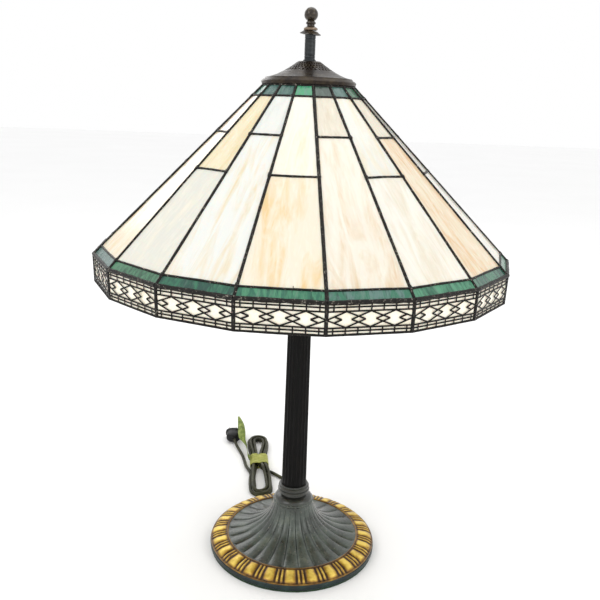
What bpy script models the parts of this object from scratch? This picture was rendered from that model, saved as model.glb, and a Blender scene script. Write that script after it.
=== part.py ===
"""Stained glass table lamp: leaded glass shade on a fluted column and a cast base.

Units are metres and +Z is up. The origin is on the lamp's axis, on the table. The front is -Y.
"""
import math

import bmesh
import bpy
from mathutils import Matrix, Vector

# ---------------------------------------------------------------- driving dimensions
GAP = 0.0003                      # air kept between neighbouring pieces

# shade, a cone of flat panels with an upright skirt under its edge
PANELS = 18
SEAM_TURN = math.radians(5.6)     # first seam, from the front towards +X
SHADE_RADIUS = 0.254              # corner of the edge where the skirt starts
SHADE_EDGE_Z = 0.415
SHADE_TOP_RADIUS = 0.051          # corner of the hole at the top
SHADE_TOP_Z = 0.618
LEAD_WIDTH = 0.0035
LEAD_SKIN = 0.0010                # lead that lies over the face of a glass ring
LEAD_DEPTH = 0.0046
TOP_COLLAR = 0.0100               # plain lead at the very top, mostly under the cap
TOP_BAND = 0.0237                 # slope distances from the top to each lead's centre
CROSS_HIGH = 0.0826
CROSS_LOW = 0.1376
EDGE_BAND = 0.0137                # slope distance from the edge up to the lead over the green band
EDGE_LEAD = 0.0032                # lead on each side of the edge
SKIRT_HEIGHT = 0.033
SKIRT_TAPER = 0.0010
SKIRT_LEAD = 0.0026
GLASS = 0.0026
FILIGREE = 0.0008
FILIGREE_BAR = 0.0030
FILIGREE_WINDOWS = 3

# cap and what clamps it
CAP_LIP = 0.0057                  # how far down the slope the cap's lip reaches
CAP_LIP_THICKNESS = 0.0020
CAP_TOP_RADIUS = 0.0132
CAP_TOP_Z = 0.6413
CAP_SHEET = 0.0013
CAP_KNEE_IN = 0.0047               # from the lip to the knee over it
CAP_KNEE_RISE = 0.0062
CAP_BACK = 0.0020                  # thickness behind the knee
SLEEVE_WALL = 0.00075
SLEEVE_RING = 0.0003
SLEEVE_TOP_Z = 0.6712
WASHER_RADIUS = 0.0122
WASHER_SHEET = 0.0008
WASHER_DROP = 0.0012
WASHER_Z = 0.6735
WASHER_TILT = math.radians(5.0)
FINIAL_FOOT_Z = 0.6757
FINIAL_RADIUS = 0.0081
FINIAL_TOP_Z = 0.7015

# rod, lamp holders and bulbs
ROD_RADIUS = 0.0050
ROD_BORE = 0.0031
ROD_FIT = 0.0003
ROD_FOOT_Z = 0.0560
STUD_RADIUS = 0.0031
STUD_LENGTH = 0.0080              # inside the finial
STUD_SPARE = 0.0011               # empty tapped hole over the stud
HUB_RADIUS = 0.0190
HUB_STEM_Z = 0.5300               # foot of the stem that stands on the column
HUB_FOOT_Z = 0.5600
HUB_TOP_Z = 0.6000
HUB_NECK_RADIUS = 0.0085
SOCKET_RADIUS = 0.0175
SOCKET_LENGTH = 0.0660
SOCKET_BORE_DEPTH = 0.0260
SOCKET_SLANT = math.radians(45.0)
HOLDER_START = 0.0060              # from the hub's middle to the holder's closed end
HOLDER_STEP = 0.0025               # each step in its tapered end
BULB_THREAD_RADIUS = 0.0130
BULB_FIT = 0.0006
BULB_RADIUS = 0.0235
BULB_NECK_RADIUS = 0.0150
BULB_LENGTH = 0.0700              # glass outside the socket
CHAIN_RADIUS = 0.0012
CHAIN_LENGTH = 0.0950
CHAIN_KNOB_RADIUS = 0.0045
CHAIN_REACH = 0.0400              # how far along the socket the chain comes out

# column
COLUMN_FOOT_RADIUS = 0.0168
COLUMN_TOP_RADIUS = 0.0138
COLUMN_WALL = 0.0030
COLUMN_RING = 0.0027               # how far the ring at its head stands out
COLUMN_RING_HEIGHT = 0.0100
REEDS = 20
REED_DEPTH = 0.0010

# base
BASE_RADIUS = 0.1130
BASE_EDGE_Z = 0.0108              # top of the upright edge
BORDER_WIDTH = 0.0225
BORDER_KNEE = 0.0100               # from the edge to the bend in the border
BORDER_KNEE_Z = 0.0162
BORDER_INNER_Z = 0.0187
QUIRK_WIDTH = 0.0020               # small step down inside the border
QUIRK_DROP = 0.0005
COLLAR_TOP_Z = 0.0925
COLLAR_RADIUS = 0.0213
BEAD_RADIUS = 0.0272
BEAD_Z = 0.0690
BEAD_HALF = 0.0010
BASE_WALL = 0.0045
FLUTES = 26
FLUTE_DEPTH = 0.0016
PAD_HEIGHT = 0.0020
PAD_INSET = 0.0010

# cord and what is on it
CORD_RADIUS = 0.0025
BUSHING_Z = 0.0062
BUSHING_RADIUS = 0.0034
BUSHING_TAIL = 0.0250
HANK_FOOT = (-0.0495, 0.1130)
HANK_HEAD = (-0.0700, 0.3215)
HANK_END_RADIUS = 0.0192
HANK_WAIST = 0.0150
HANK_HEIGHT = 0.0140
TIE_WIDTH = 0.0340
TIE_SHEET = 0.0010
PLUG_PLACE = (-0.1105, 0.2970)
PLUG_TURN = math.radians(8.0)
PLUG_WIDTH = 0.0270
PLUG_LENGTH = 0.0300
PLUG_HEIGHT = 0.0180
PLUG_CORNER = 0.0065
BLADE_LENGTH = 0.0160
BLADE_HEIGHT = 0.0063
BLADE_THICKNESS = 0.0015
BLADE_SPACING = 0.0127
BLADE_ROOT = 0.0040                # inside the plug


# ---------------------------------------------------------------- materials and objects
def finish(name, colour, roughness, metallic=0.0, alpha=1.0):
    """A Principled material with the piece's colour, roughness and metal value."""
    material = bpy.data.materials.new(name)
    material.use_nodes = True
    shader = material.node_tree.nodes["Principled BSDF"]
    shader.inputs["Base Color"].default_value = (*colour, 1.0)
    shader.inputs["Roughness"].default_value = roughness
    shader.inputs["Metallic"].default_value = metallic
    shader.inputs["Alpha"].default_value = alpha
    material.diffuse_color = (*colour, alpha)
    return material


def add_object(name, mesh, material, smooth=False, origin=(0.0, 0.0, 0.0), parent=None):
    """Link a mesh modelled in the lamp's frame, with its own origin moved to where the piece turns."""
    mesh.transform(Matrix.Translation(-Vector(origin)))
    if smooth:
        mesh.shade_smooth()
        mesh.set_sharp_from_angle(angle=math.radians(38))
    mesh.materials.append(material)
    piece = bpy.data.objects.new(name, mesh)
    piece.location = origin
    piece.parent = parent
    bpy.context.scene.collection.objects.link(piece)
    return piece


def mesh_from(bm, name):
    """Close off a bmesh: faces made consistent and outward, then written to a mesh."""
    bmesh.ops.recalc_face_normals(bm, faces=bm.faces)
    mesh = bpy.data.meshes.new(name)
    bm.to_mesh(mesh)
    bm.free()
    return mesh


def turned_mesh(name, outline, segments, radius_of=None):
    """A solid turned about Z from a closed outline of (radius, height) points.

    radius_of(radius, height, angle) can flute it. Points on the axis become poles.
    """
    bm = bmesh.new()
    rings = []
    for radius, height in outline:
        if radius == 0.0:
            rings.append([bm.verts.new((0.0, 0.0, height))])
            continue
        ring = []
        for step in range(segments):
            angle = 2 * math.pi * step / segments
            r = radius_of(radius, height, angle) if radius_of else radius
            ring.append(bm.verts.new((r * math.sin(angle), -r * math.cos(angle), height)))
        rings.append(ring)
    for first, second in zip(rings, rings[1:] + rings[:1]):
        for step in range(segments):
            following = (step + 1) % segments
            corners = [first[step % len(first)], first[following % len(first)],
                       second[following % len(second)], second[step % len(second)]]
            corners = list(dict.fromkeys(corners))
            if len(corners) > 2:
                bm.faces.new(corners)
    return mesh_from(bm, name)


def box_mesh(name, low, high):
    """A plain block between two corners."""
    bm = bmesh.new()
    bmesh.ops.create_cube(bm, size=1.0)
    size = Vector(high) - Vector(low)
    middle = (Vector(high) + Vector(low)) / 2
    bmesh.ops.scale(bm, vec=size, verts=bm.verts)
    bmesh.ops.translate(bm, vec=middle, verts=bm.verts)
    return mesh_from(bm, name)


def tool(name, mesh, place=Matrix.Identity(4)):
    """A hidden object that a Boolean uses."""
    guide = bpy.data.objects.new(name, mesh)
    guide.matrix_world = place
    guide.hide_render = True
    guide.display_type = "WIRE"
    bpy.context.scene.collection.objects.link(guide)
    return guide


def boolean(piece, guide, operation):
    """Add a Boolean with the hidden object; it stays live on the piece."""
    modifier = piece.modifiers.new(guide.name, "BOOLEAN")
    modifier.operation = operation
    modifier.solver = "EXACT"
    modifier.object = guide


def empty(name, place=(0.0, 0.0, 0.0)):
    """A parent on a joint's axis."""
    axis = bpy.data.objects.new(name, None)
    axis.location = place
    bpy.context.scene.collection.objects.link(axis)
    return axis


# ---------------------------------------------------------------- the shade's geometry
SLOPE = Vector((SHADE_RADIUS - SHADE_TOP_RADIUS, SHADE_EDGE_Z - SHADE_TOP_Z))
SLOPE_LENGTH = SLOPE.length
SLOPE_DOWN = SLOPE.normalized()
SLOPE_OUT = Vector((-SLOPE_DOWN.y, SLOPE_DOWN.x))
SKIRT_DOWN = Vector((-SKIRT_TAPER, -SKIRT_HEIGHT)).normalized()
SKIRT_OUT = Vector((-SKIRT_DOWN.y, SKIRT_DOWN.x))
MITRE = (SLOPE_OUT + SKIRT_OUT) / (1 + SLOPE_OUT.dot(SKIRT_OUT))


def wall_point(down, depth):
    """Radius and height at a distance down the wall's outer face and a depth into it."""
    top = Vector((SHADE_TOP_RADIUS, SHADE_TOP_Z))
    edge = Vector((SHADE_RADIUS, SHADE_EDGE_Z))
    if abs(down - SLOPE_LENGTH) < 1e-7:
        return edge - MITRE * depth
    if down < SLOPE_LENGTH:
        return top + SLOPE_DOWN * down - SLOPE_OUT * depth
    return edge + SKIRT_DOWN * (down - SLOPE_LENGTH) - SKIRT_OUT * depth


def panel_point(panel, side, inset, down, depth):
    """A point on one flat panel: inset from its left (side 0) or right (side 1) seam."""
    radius, height = wall_point(down, depth)
    corners = []
    for seam in (panel, panel + 1):
        angle = SEAM_TURN + 2 * math.pi * seam / PANELS
        corners.append(Vector((radius * math.sin(angle), -radius * math.cos(angle), height)))
    across = corners[1] - corners[0]
    share = inset / across.length
    return corners[0] + across * (1 - share if side else share)


def is_high(panel):
    """Cross leads alternate: even panels have theirs high up."""
    return panel % 2 == 0


def shade_rows():
    """Slope distances of the lines between the rows of the lead skeleton, top to bottom."""
    half = LEAD_WIDTH / 2
    low_band = SLOPE_LENGTH - EDGE_BAND
    bottom = SLOPE_LENGTH + SKIRT_HEIGHT
    return [0.0, TOP_COLLAR, TOP_BAND - half, TOP_BAND + half,
            CROSS_HIGH - half, CROSS_HIGH + half, CROSS_LOW - half, CROSS_LOW + half,
            low_band - half, low_band + half, SLOPE_LENGTH - EDGE_LEAD, SLOPE_LENGTH,
            SLOPE_LENGTH + EDGE_LEAD, bottom - SKIRT_LEAD, bottom]


ROW_TOP_GLASS, ROW_HIGH, ROW_LOW, ROW_EDGE_GLASS, ROW_SKIRT = 1, 4, 6, 9, 12
FULL_ROWS = {0, 2, 8, 10, 11, 13}


def lead_is_solid(panel, seam, row, layer):
    """Whether one cell of the skeleton's grid is metal. Layer 0 is the skin, layer 1 lies behind it."""
    if row in FULL_ROWS:
        return True
    if seam:
        return layer == 0 or row not in (ROW_TOP_GLASS, ROW_EDGE_GLASS, ROW_SKIRT)
    return row == (ROW_HIGH if is_high(panel) else ROW_LOW)


def cell_grid_mesh(name, columns, rows, layers, point, solid):
    """Skin of the solid cells of a grid that closes on itself across its columns."""
    bm = bmesh.new()
    corner_at = {}

    def corner(column, row, layer):
        key = (column % columns, row, layer)
        if key not in corner_at:
            corner_at[key] = bm.verts.new(point(*key))
        return corner_at[key]

    def full(column, row, layer):
        inside = 0 <= row < rows and 0 <= layer < layers
        return inside and solid(column % columns, row, layer)

    for column in range(columns):
        for row in range(rows):
            for layer in range(layers):
                if not full(column, row, layer):
                    continue
                for axis in range(3):
                    for side in (0, 1):
                        neighbour = [column, row, layer]
                        neighbour[axis] += 1 if side else -1
                        if full(*neighbour):
                            continue
                        face = []
                        for first, second in ((0, 0), (1, 0), (1, 1), (0, 1)):
                            offset = [first, second]
                            offset.insert(axis, side)
                            face.append(corner(column + offset[0], row + offset[1], layer + offset[2]))
                        bm.faces.new(face)
    return mesh_from(bm, name)


def lead_frame(parent):
    """Lead cames and solder: every seam, the cross leads, both band leads, the edge and the skirt's posts."""
    rows = shade_rows()
    depths = [0.0, LEAD_SKIN, LEAD_DEPTH]

    def point(column, row, layer):
        """Even columns start at a panel's left window edge, odd ones at its right window edge."""
        return panel_point(column // 2, column % 2, LEAD_WIDTH / 2, rows[row], depths[layer])

    def solid(column, row, layer):
        return lead_is_solid(column // 2, column % 2 == 1, row, layer)

    mesh = cell_grid_mesh("lead_frame", 2 * PANELS, len(rows) - 1, len(depths) - 1, point, solid)
    return add_object("lead_frame", mesh, LEAD, parent=parent)


def glass_pane(name, panel, row_top, row_foot, material, parent):
    """One flat pane between two lead rows, with a gap all round."""
    rows = shade_rows()
    bm = bmesh.new()
    inset = LEAD_WIDTH / 2 + GAP
    front = (LEAD_DEPTH - GLASS) / 2
    corners = []
    for depth in (front, front + GLASS):
        for side, down in ((0, rows[row_top] + GAP), (1, rows[row_top] + GAP),
                           (1, rows[row_foot] - GAP), (0, rows[row_foot] - GAP)):
            corners.append(bm.verts.new(panel_point(panel, side, inset, down, depth)))
    bm.faces.new(corners[:4])
    bm.faces.new(corners[4:])
    for step in range(4):
        following = (step + 1) % 4
        bm.faces.new([corners[step], corners[following], corners[4 + following], corners[4 + step]])
    return add_object(name, mesh_from(bm, name), material, parent=parent)


def panes(parent):
    """Two cream panes in each panel, above and below its cross lead."""
    for panel in range(PANELS):
        cross = ROW_HIGH if is_high(panel) else ROW_LOW
        glass_pane(f"upper_pane_{panel + 1:02d}", panel, 3, cross, CREAM_GLASS, parent)
        glass_pane(f"lower_pane_{panel + 1:02d}", panel, cross + 1, 8, CREAM_GLASS, parent)


def wall_ring(name, top, foot, front, back, material, parent):
    """A faceted ring that follows the wall between two slope distances and two depths."""
    line = [(top, front), (foot, front), (foot, back), (top, back)]
    bm = bmesh.new()
    stations = []
    for column in range(2 * PANELS):
        ring = [bm.verts.new(panel_point(column // 2, column % 2, LEAD_WIDTH / 2, down, depth))
                for down, depth in line]
        stations.append(ring)
    for first, second in zip(stations, stations[1:] + stations[:1]):
        for step in range(4):
            following = (step + 1) % 4
            bm.faces.new([first[step], first[following], second[following], second[step]])
    return add_object(name, mesh_from(bm, name), material, parent=parent)


def glass_rings(parent):
    """The green bands and the skirt's cream glass, each a ring behind the lead's skin."""
    rows = shade_rows()
    front = LEAD_SKIN + GAP
    wall_ring("top_band_glass", rows[1] + GAP, rows[2] - GAP, front, front + GLASS, GREEN_GLASS, parent)
    wall_ring("edge_band_glass", rows[9] + GAP, rows[10] - GAP, front, front + GLASS, GREEN_GLASS, parent)
    behind = front + FILIGREE + GAP
    wall_ring("skirt_glass", rows[12] + GAP, rows[13] - GAP, behind, behind + GLASS - FILIGREE,
              CREAM_GLASS, parent)


def skirt_filigree(parent):
    """Stamped brass screen in front of the skirt's glass, with a row of openings in each panel."""
    rows = shade_rows()
    top = rows[ROW_SKIRT] + GAP
    foot = rows[ROW_SKIRT + 1] - GAP
    lines = [top, top + FILIGREE_BAR, foot - FILIGREE_BAR, foot]
    depths = [LEAD_SKIN + GAP, LEAD_SKIN + GAP + FILIGREE]
    per_panel = 2 * FILIGREE_WINDOWS + 2

    def point(column, row, layer):
        """Stations: the panel's left edge, both sides of each opening, the panel's right edge."""
        panel, station = divmod(column, per_panel)
        edges = LEAD_WIDTH / 2
        left = panel_point(panel, 0, edges, lines[row], depths[layer])
        right = panel_point(panel, 1, edges, lines[row], depths[layer])
        width = (right - left).length
        opening = (width - FILIGREE_BAR * (FILIGREE_WINDOWS + 1)) / FILIGREE_WINDOWS
        if station == 0:
            along = 0.0
        elif station == per_panel - 1:
            along = width
        else:
            window, side = divmod(station - 1, 2)
            along = FILIGREE_BAR * (window + 1) + opening * (window + side)
        return left.lerp(right, along / width)

    def solid(column, row, layer):
        station = column % per_panel
        is_window = station % 2 == 1 and station < per_panel - 1
        return not (row == 1 and is_window)

    mesh = cell_grid_mesh("skirt_filigree", per_panel * PANELS, 3, 1, point, solid)
    return add_object("skirt_filigree", mesh, FILIGREE_BRASS, parent=parent)


# ---------------------------------------------------------------- cap, sleeve, washer, finial
def vented_cap(parent):
    """Cast cap: flat top, hollow curve to a knee, and a lip that lies along the shade's collar."""
    lip = wall_point(CAP_LIP, -GAP)
    lip_out = wall_point(CAP_LIP, -GAP - CAP_LIP_THICKNESS)
    knee = wall_point(0.0, -GAP)
    inner_knee = wall_point(-CAP_BACK, -GAP)
    knee_out = lip_out + Vector((-CAP_KNEE_IN, CAP_KNEE_RISE))
    curve = []
    steps = 5
    for step in range(steps + 1):
        share = step / steps
        radius = knee_out.x + (CAP_TOP_RADIUS - knee_out.x) * share
        rise = 0.62 * share + 0.38 * share ** 2.2
        curve.append((radius, knee_out.y + (CAP_TOP_Z - knee_out.y) * rise))
    under = [(radius, height - CAP_SHEET) for radius, height in reversed(curve[1:])]
    hole = ROD_RADIUS + ROD_FIT
    outline = [tuple(lip), tuple(lip_out)] + curve
    outline += [(hole, CAP_TOP_Z), (hole, CAP_TOP_Z - CAP_SHEET)] + under
    outline += [tuple(inner_knee), tuple(knee)]
    mesh = turned_mesh("vented_cap", outline, 2 * PANELS)
    return add_object("vented_cap", mesh, BRONZE, smooth=True, parent=parent)


def riser_sleeve():
    """Thin tube that covers the rod between the cap and the washer, with a ring near its foot."""
    foot = CAP_TOP_Z + GAP
    bore = ROD_RADIUS + ROD_FIT
    outside = bore + SLEEVE_WALL
    ring = outside + SLEEVE_RING
    outline = [(bore, foot), (outside, foot), (outside, foot + 0.0035),
               (ring, foot + 0.0040), (ring, foot + 0.0048), (outside, foot + 0.0053),
               (outside, SLEEVE_TOP_Z), (bore, SLEEVE_TOP_Z)]
    return add_object("riser_sleeve", turned_mesh("riser_sleeve", outline, 28), STEEL_BLACK, smooth=True)


def finial_washer():
    """Dished washer, sitting slightly askew on the stud."""
    hole = STUD_RADIUS + 2 * GAP
    flat = 0.52 * WASHER_RADIUS
    half = WASHER_SHEET / 2
    outline = [(hole, -half), (flat, -half), (WASHER_RADIUS, -half - WASHER_DROP),
               (WASHER_RADIUS, half - WASHER_DROP), (flat, half), (hole, half)]
    mesh = turned_mesh("finial_washer", outline, 28)
    mesh.transform(Matrix.Translation((0.0, 0.0, WASHER_Z)) @ Matrix.Rotation(WASHER_TILT, 4, "Y"))
    return add_object("finial_washer", mesh, BRONZE, smooth=True, origin=(0.0, 0.0, WASHER_Z))


# radius and height above the finial's foot: bell flange, neck and bead
FINIAL_LINE = [(0.0066, 0.0), (0.0082, 0.0012), (0.0080, 0.0027), (0.0063, 0.0041), (0.0047, 0.0049),
               (0.0045, 0.0065), (0.0057, 0.0075), (0.0057, 0.0091), (0.0049, 0.0101)]


def finial_knob():
    """Turned finial: bell flange, neck, bead and an acorn ball, tapped from below."""
    bore = STUD_RADIUS + GAP
    bore_top = FINIAL_FOOT_Z + STUD_LENGTH + STUD_SPARE
    ball = FINIAL_RADIUS
    centre = FINIAL_TOP_Z - ball
    outline = [(0.0, bore_top), (bore, bore_top), (bore, FINIAL_FOOT_Z)]
    outline += [(radius, FINIAL_FOOT_Z + rise) for radius, rise in FINIAL_LINE]
    steps = 7
    start = math.radians(-50)
    for step in range(steps):
        angle = start + (math.pi / 2 - start) * step / steps
        outline.append((ball * math.cos(angle), centre + ball * math.sin(angle)))
    outline.append((0.0, FINIAL_TOP_Z))
    mesh = turned_mesh("finial_knob", outline, 22)
    return add_object("finial_knob", mesh, BRONZE_DARK, smooth=True, origin=(0.0, 0.0, FINIAL_FOOT_Z))


# ---------------------------------------------------------------- rod, lamp holders, bulbs, chains
def centre_rod():
    """Threaded pipe from the base's boss to the finial: hollow for the wires, with a stud on top."""
    stud_top = FINIAL_FOOT_Z + STUD_LENGTH
    shoulder = SLEEVE_TOP_Z - 0.0010
    bore_top = HUB_FOOT_Z + 0.02
    outline = [(0.0, bore_top), (ROD_BORE, bore_top), (ROD_BORE, ROD_FOOT_Z), (ROD_RADIUS, ROD_FOOT_Z),
               (ROD_RADIUS, shoulder), (STUD_RADIUS, shoulder), (STUD_RADIUS, stud_top), (0.0, stud_top)]
    return add_object("centre_rod", turned_mesh("centre_rod", outline, 20), STEEL, smooth=True)


def socket_frame(side):
    """Frame of one lamp holder: its own Z runs out and down from the hub, to +X or -X."""
    middle = Vector((0.0, 0.0, (HUB_FOOT_Z + HUB_TOP_Z) / 2))
    turn = Matrix.Rotation(side * (math.pi - SOCKET_SLANT), 4, "Y")
    return Matrix.Translation(middle) @ turn


def twin_socket():
    """Lamp holder cluster: a hub threaded on the rod, and two holders fixed to it."""
    cap_underside = CAP_TOP_Z - CAP_SHEET - GAP
    outline = [(0.0, HUB_STEM_Z), (HUB_NECK_RADIUS, HUB_STEM_Z), (HUB_NECK_RADIUS, HUB_FOOT_Z),
               (HUB_RADIUS, HUB_FOOT_Z + 0.008),
               (HUB_RADIUS, HUB_TOP_Z - 0.010), (HUB_NECK_RADIUS, HUB_TOP_Z),
               (HUB_NECK_RADIUS, cap_underside), (0.0, cap_underside)]
    hub = add_object("twin_socket", turned_mesh("twin_socket", outline, 28), BRASS, smooth=True)
    start = HOLDER_START
    bore = BULB_THREAD_RADIUS + BULB_FIT
    floor = SOCKET_LENGTH - SOCKET_BORE_DEPTH
    holder = [(0.0, start), (SOCKET_RADIUS - 2 * HOLDER_STEP, start),
              (SOCKET_RADIUS - HOLDER_STEP, start + 0.012), (SOCKET_RADIUS, start + 0.018),
              (SOCKET_RADIUS, SOCKET_LENGTH), (bore, SOCKET_LENGTH), (bore, floor), (0.0, floor)]
    for side in (-1, 1):
        guide = tool(f"holder_{side}", turned_mesh("holder", holder, 24), socket_frame(side))
        boolean(hub, guide, "UNION")
    bore_outline = [(0.0, HUB_STEM_Z - 0.01), (ROD_RADIUS + ROD_FIT, HUB_STEM_Z - 0.01),
                    (ROD_RADIUS + ROD_FIT, cap_underside + 0.01), (0.0, cap_underside + 0.01)]
    boolean(hub, tool("hub_bore", turned_mesh("hub_bore", bore_outline, 20)), "DIFFERENCE")
    return hub


def bulbs():
    """Two bulbs, each screwed into its holder along the holder's own axis."""
    floor = SOCKET_LENGTH - SOCKET_BORE_DEPTH
    thread = BULB_THREAD_RADIUS
    tip = SOCKET_LENGTH + BULB_LENGTH
    swell = tip - BULB_RADIUS
    outline = [(0.0, floor + GAP), (0.6 * thread, floor + GAP), (thread, floor + 0.004),
               (thread, SOCKET_LENGTH + 0.003), (BULB_NECK_RADIUS, SOCKET_LENGTH + 0.012)]
    steps = 6
    for step in range(steps):
        angle = math.radians(-35) + (math.pi / 2 + math.radians(35)) * step / steps
        outline.append((BULB_RADIUS * math.cos(angle), swell + BULB_RADIUS * math.sin(angle)))
    outline.append((0.0, tip))
    for number, side in ((1, -1), (2, 1)):
        mesh = turned_mesh("bulb", outline, 20)
        frame = socket_frame(side)
        mesh.transform(frame)
        add_object(f"bulb_{number}", mesh, OPAL, smooth=True, origin=frame @ Vector((0, 0, SOCKET_LENGTH)))


def pull_chains():
    """A beaded chain under each holder, with a small bell to pull on."""
    knob = CHAIN_KNOB_RADIUS
    for number, side in ((1, -1), (2, 1)):
        exit_point = socket_frame(side) @ Vector((0.0, 0.0, CHAIN_REACH))
        drop = SOCKET_RADIUS / math.sin(SOCKET_SLANT)
        top = exit_point.z - drop - 2 * GAP - CHAIN_RADIUS
        foot = top - CHAIN_LENGTH
        outline = [(0.0, foot), (0.7 * knob, foot), (knob, foot + 0.004), (0.55 * knob, foot + 0.011),
                   (CHAIN_RADIUS, foot + 0.015), (CHAIN_RADIUS, top), (0.0, top)]
        mesh = turned_mesh("chain", outline, 10)
        mesh.transform(Matrix.Translation((exit_point.x, 0.0, 0.0)))
        add_object(f"pull_chain_{number}", mesh, BRASS, smooth=True, origin=(exit_point.x, 0.0, top))


# ---------------------------------------------------------------- column and base
def column():
    """Reeded tube, slightly thicker at its foot, with a ring at its head under the hub."""
    foot = COLLAR_TOP_Z + GAP
    head = HUB_STEM_Z - GAP
    ring_foot = head - COLUMN_RING_HEIGHT
    ring = COLUMN_TOP_RADIUS + COLUMN_RING

    def reeded(radius, height, angle):
        plain = radius < COLUMN_TOP_RADIUS - COLUMN_WALL / 2 or height > ring_foot - 0.001
        return radius if plain else radius - REED_DEPTH * abs(math.sin(REEDS * angle / 2))

    bore = COLUMN_TOP_RADIUS - COLUMN_WALL - REED_DEPTH
    outline = [(bore, foot), (COLUMN_FOOT_RADIUS, foot), (COLUMN_TOP_RADIUS, ring_foot - 0.002),
               (COLUMN_TOP_RADIUS, ring_foot), (ring, ring_foot + 0.003), (ring, head - 0.003),
               (COLUMN_TOP_RADIUS - 0.0008, head), (bore, head)]
    mesh = turned_mesh("column", outline, 3 * REEDS, reeded)
    return add_object("column", mesh, BRONZE_BLACK, smooth=True)


# the dome's hollow curve, as shares of the way from the bead out to the border and from the border up
# to the bead, and the collar's line, as radius against the collar's and share of the height over the bead
DOME_CURVE = [(0.708, 0.066), (0.408, 0.229), (0.186, 0.453), (0.068, 0.682), (-0.003, 0.911)]
COLLAR_LINE = [(-0.0018, 0.289), (-0.0025, 0.422), (0.0, 0.511), (0.0, 0.667),
               (-0.0017, 0.747), (-0.0007, 0.867), (-0.0028, 1.0)]


def base_outline():
    """Outer line of the casting, from the foot of its edge up to the collar's top."""
    foot = PAD_HEIGHT + GAP
    inner = BASE_RADIUS - BORDER_WIDTH
    border = [(BASE_RADIUS, foot), (BASE_RADIUS, BASE_EDGE_Z), (BASE_RADIUS - BORDER_KNEE, BORDER_KNEE_Z),
              (inner, BORDER_INNER_Z)]
    dome = [(inner - QUIRK_WIDTH, BORDER_INNER_Z - QUIRK_DROP)]
    for out, up in DOME_CURVE:
        radius = BEAD_RADIUS + (inner - BEAD_RADIUS) * out
        dome.append((radius, BORDER_INNER_Z + (BEAD_Z - BORDER_INNER_Z) * up))
    bead_top = BEAD_Z + BEAD_HALF
    neck = [(BEAD_RADIUS, BEAD_Z - BEAD_HALF), (BEAD_RADIUS, bead_top)]
    neck += [(COLLAR_RADIUS + out, bead_top + (COLLAR_TOP_Z - bead_top) * up) for out, up in COLLAR_LINE]
    return border, dome, neck


def base_casting():
    """Cast base: fluted hollow dome, relief border, beaded rim and collar, open below."""
    border, dome, neck = base_outline()
    boss = ROD_RADIUS + ROD_FIT
    foot = PAD_HEIGHT + GAP
    inside = [(radius - 0.6 * BASE_WALL, height - 1.3 * BASE_WALL) for radius, height in reversed(dome[1:])]
    inside += [(border[-1][0], BORDER_INNER_Z - 1.3 * BASE_WALL),
               (BASE_RADIUS - BASE_WALL, BASE_EDGE_Z - 0.4 * BASE_WALL), (BASE_RADIUS - BASE_WALL, foot)]

    def fluted(radius, height, angle):
        along = (height - dome[0][1]) / (dome[-1][1] - dome[0][1])
        if (radius, height) not in dome or not 0.0 < along < 1.0:
            return radius
        depth = FLUTE_DEPTH * math.sin(math.pi * min(1.0, along * 3.0) / 2) * (1.0 - 0.5 * along)
        return radius - depth * (1 - abs(math.cos(FLUTES * angle / 2)))

    outline = border + dome + neck + [(boss, COLLAR_TOP_Z), (boss, BEAD_Z)] + inside
    mesh = turned_mesh("base_casting", outline, 3 * FLUTES, fluted)
    casting = add_object("base_casting", mesh, PATINA, smooth=True)
    half = BUSHING_RADIUS + GAP
    notch = box_mesh("notch", (-half, BASE_RADIUS - 0.02, 0.0), (half, BASE_RADIUS + 0.01, BUSHING_Z + half))
    boolean(casting, tool("cord_notch", notch), "DIFFERENCE")
    return casting


def base_pad():
    """Felt disc glued under the casting."""
    radius = BASE_RADIUS - PAD_INSET
    outline = [(0.0, 0.0), (radius, 0.0), (radius, PAD_HEIGHT), (0.0, PAD_HEIGHT)]
    return add_object("base_pad", turned_mesh("base_pad", outline, 64), FELT)


# ---------------------------------------------------------------- cord
def cord_bushing():
    """Moulded strain relief in the notch at the back of the base, tapering along the cord."""
    inner = BASE_RADIUS - BASE_WALL - 0.003
    mouth = BASE_RADIUS + BUSHING_TAIL
    radius = BUSHING_RADIUS
    outline = [(0.0, inner), (radius, inner), (radius, BASE_RADIUS + 0.002), (CORD_RADIUS + 0.0004, mouth),
               (0.0, mouth)]
    mesh = turned_mesh("cord_bushing", outline, 16)
    mesh.transform(Matrix.Translation((0.0, 0.0, BUSHING_Z)) @ Matrix.Rotation(-math.pi / 2, 4, "X"))
    return add_object("cord_bushing", mesh, RUBBER, smooth=True)


LEAD_ROUTE = [(0.0000, 0.1383, 0.0062), (-0.0005, 0.1450, 0.0057), (-0.0025, 0.1530, 0.0042),
              (-0.0070, 0.1610, 0.0031), (-0.0130, 0.1680, 0.0029), (-0.0200, 0.1743, 0.0029),
              (-0.0270, 0.1808, 0.0030), (-0.0335, 0.1868, 0.0034), (-0.0386, 0.1917, 0.0037)]
TAIL_ROUTE = [(-0.0754, 0.1949, 0.0045), (-0.0783, 0.2010, 0.0036), (-0.0808, 0.2080, 0.0030),
              (-0.0832, 0.2170, 0.0028), (-0.0858, 0.2290, 0.0028), (-0.0892, 0.2430, 0.0028),
              (-0.0940, 0.2575, 0.0030), (-0.1000, 0.2720, 0.0038), (-0.1057, 0.2850, 0.0062),
              (-0.1093, 0.2963, 0.0088)]


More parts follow.
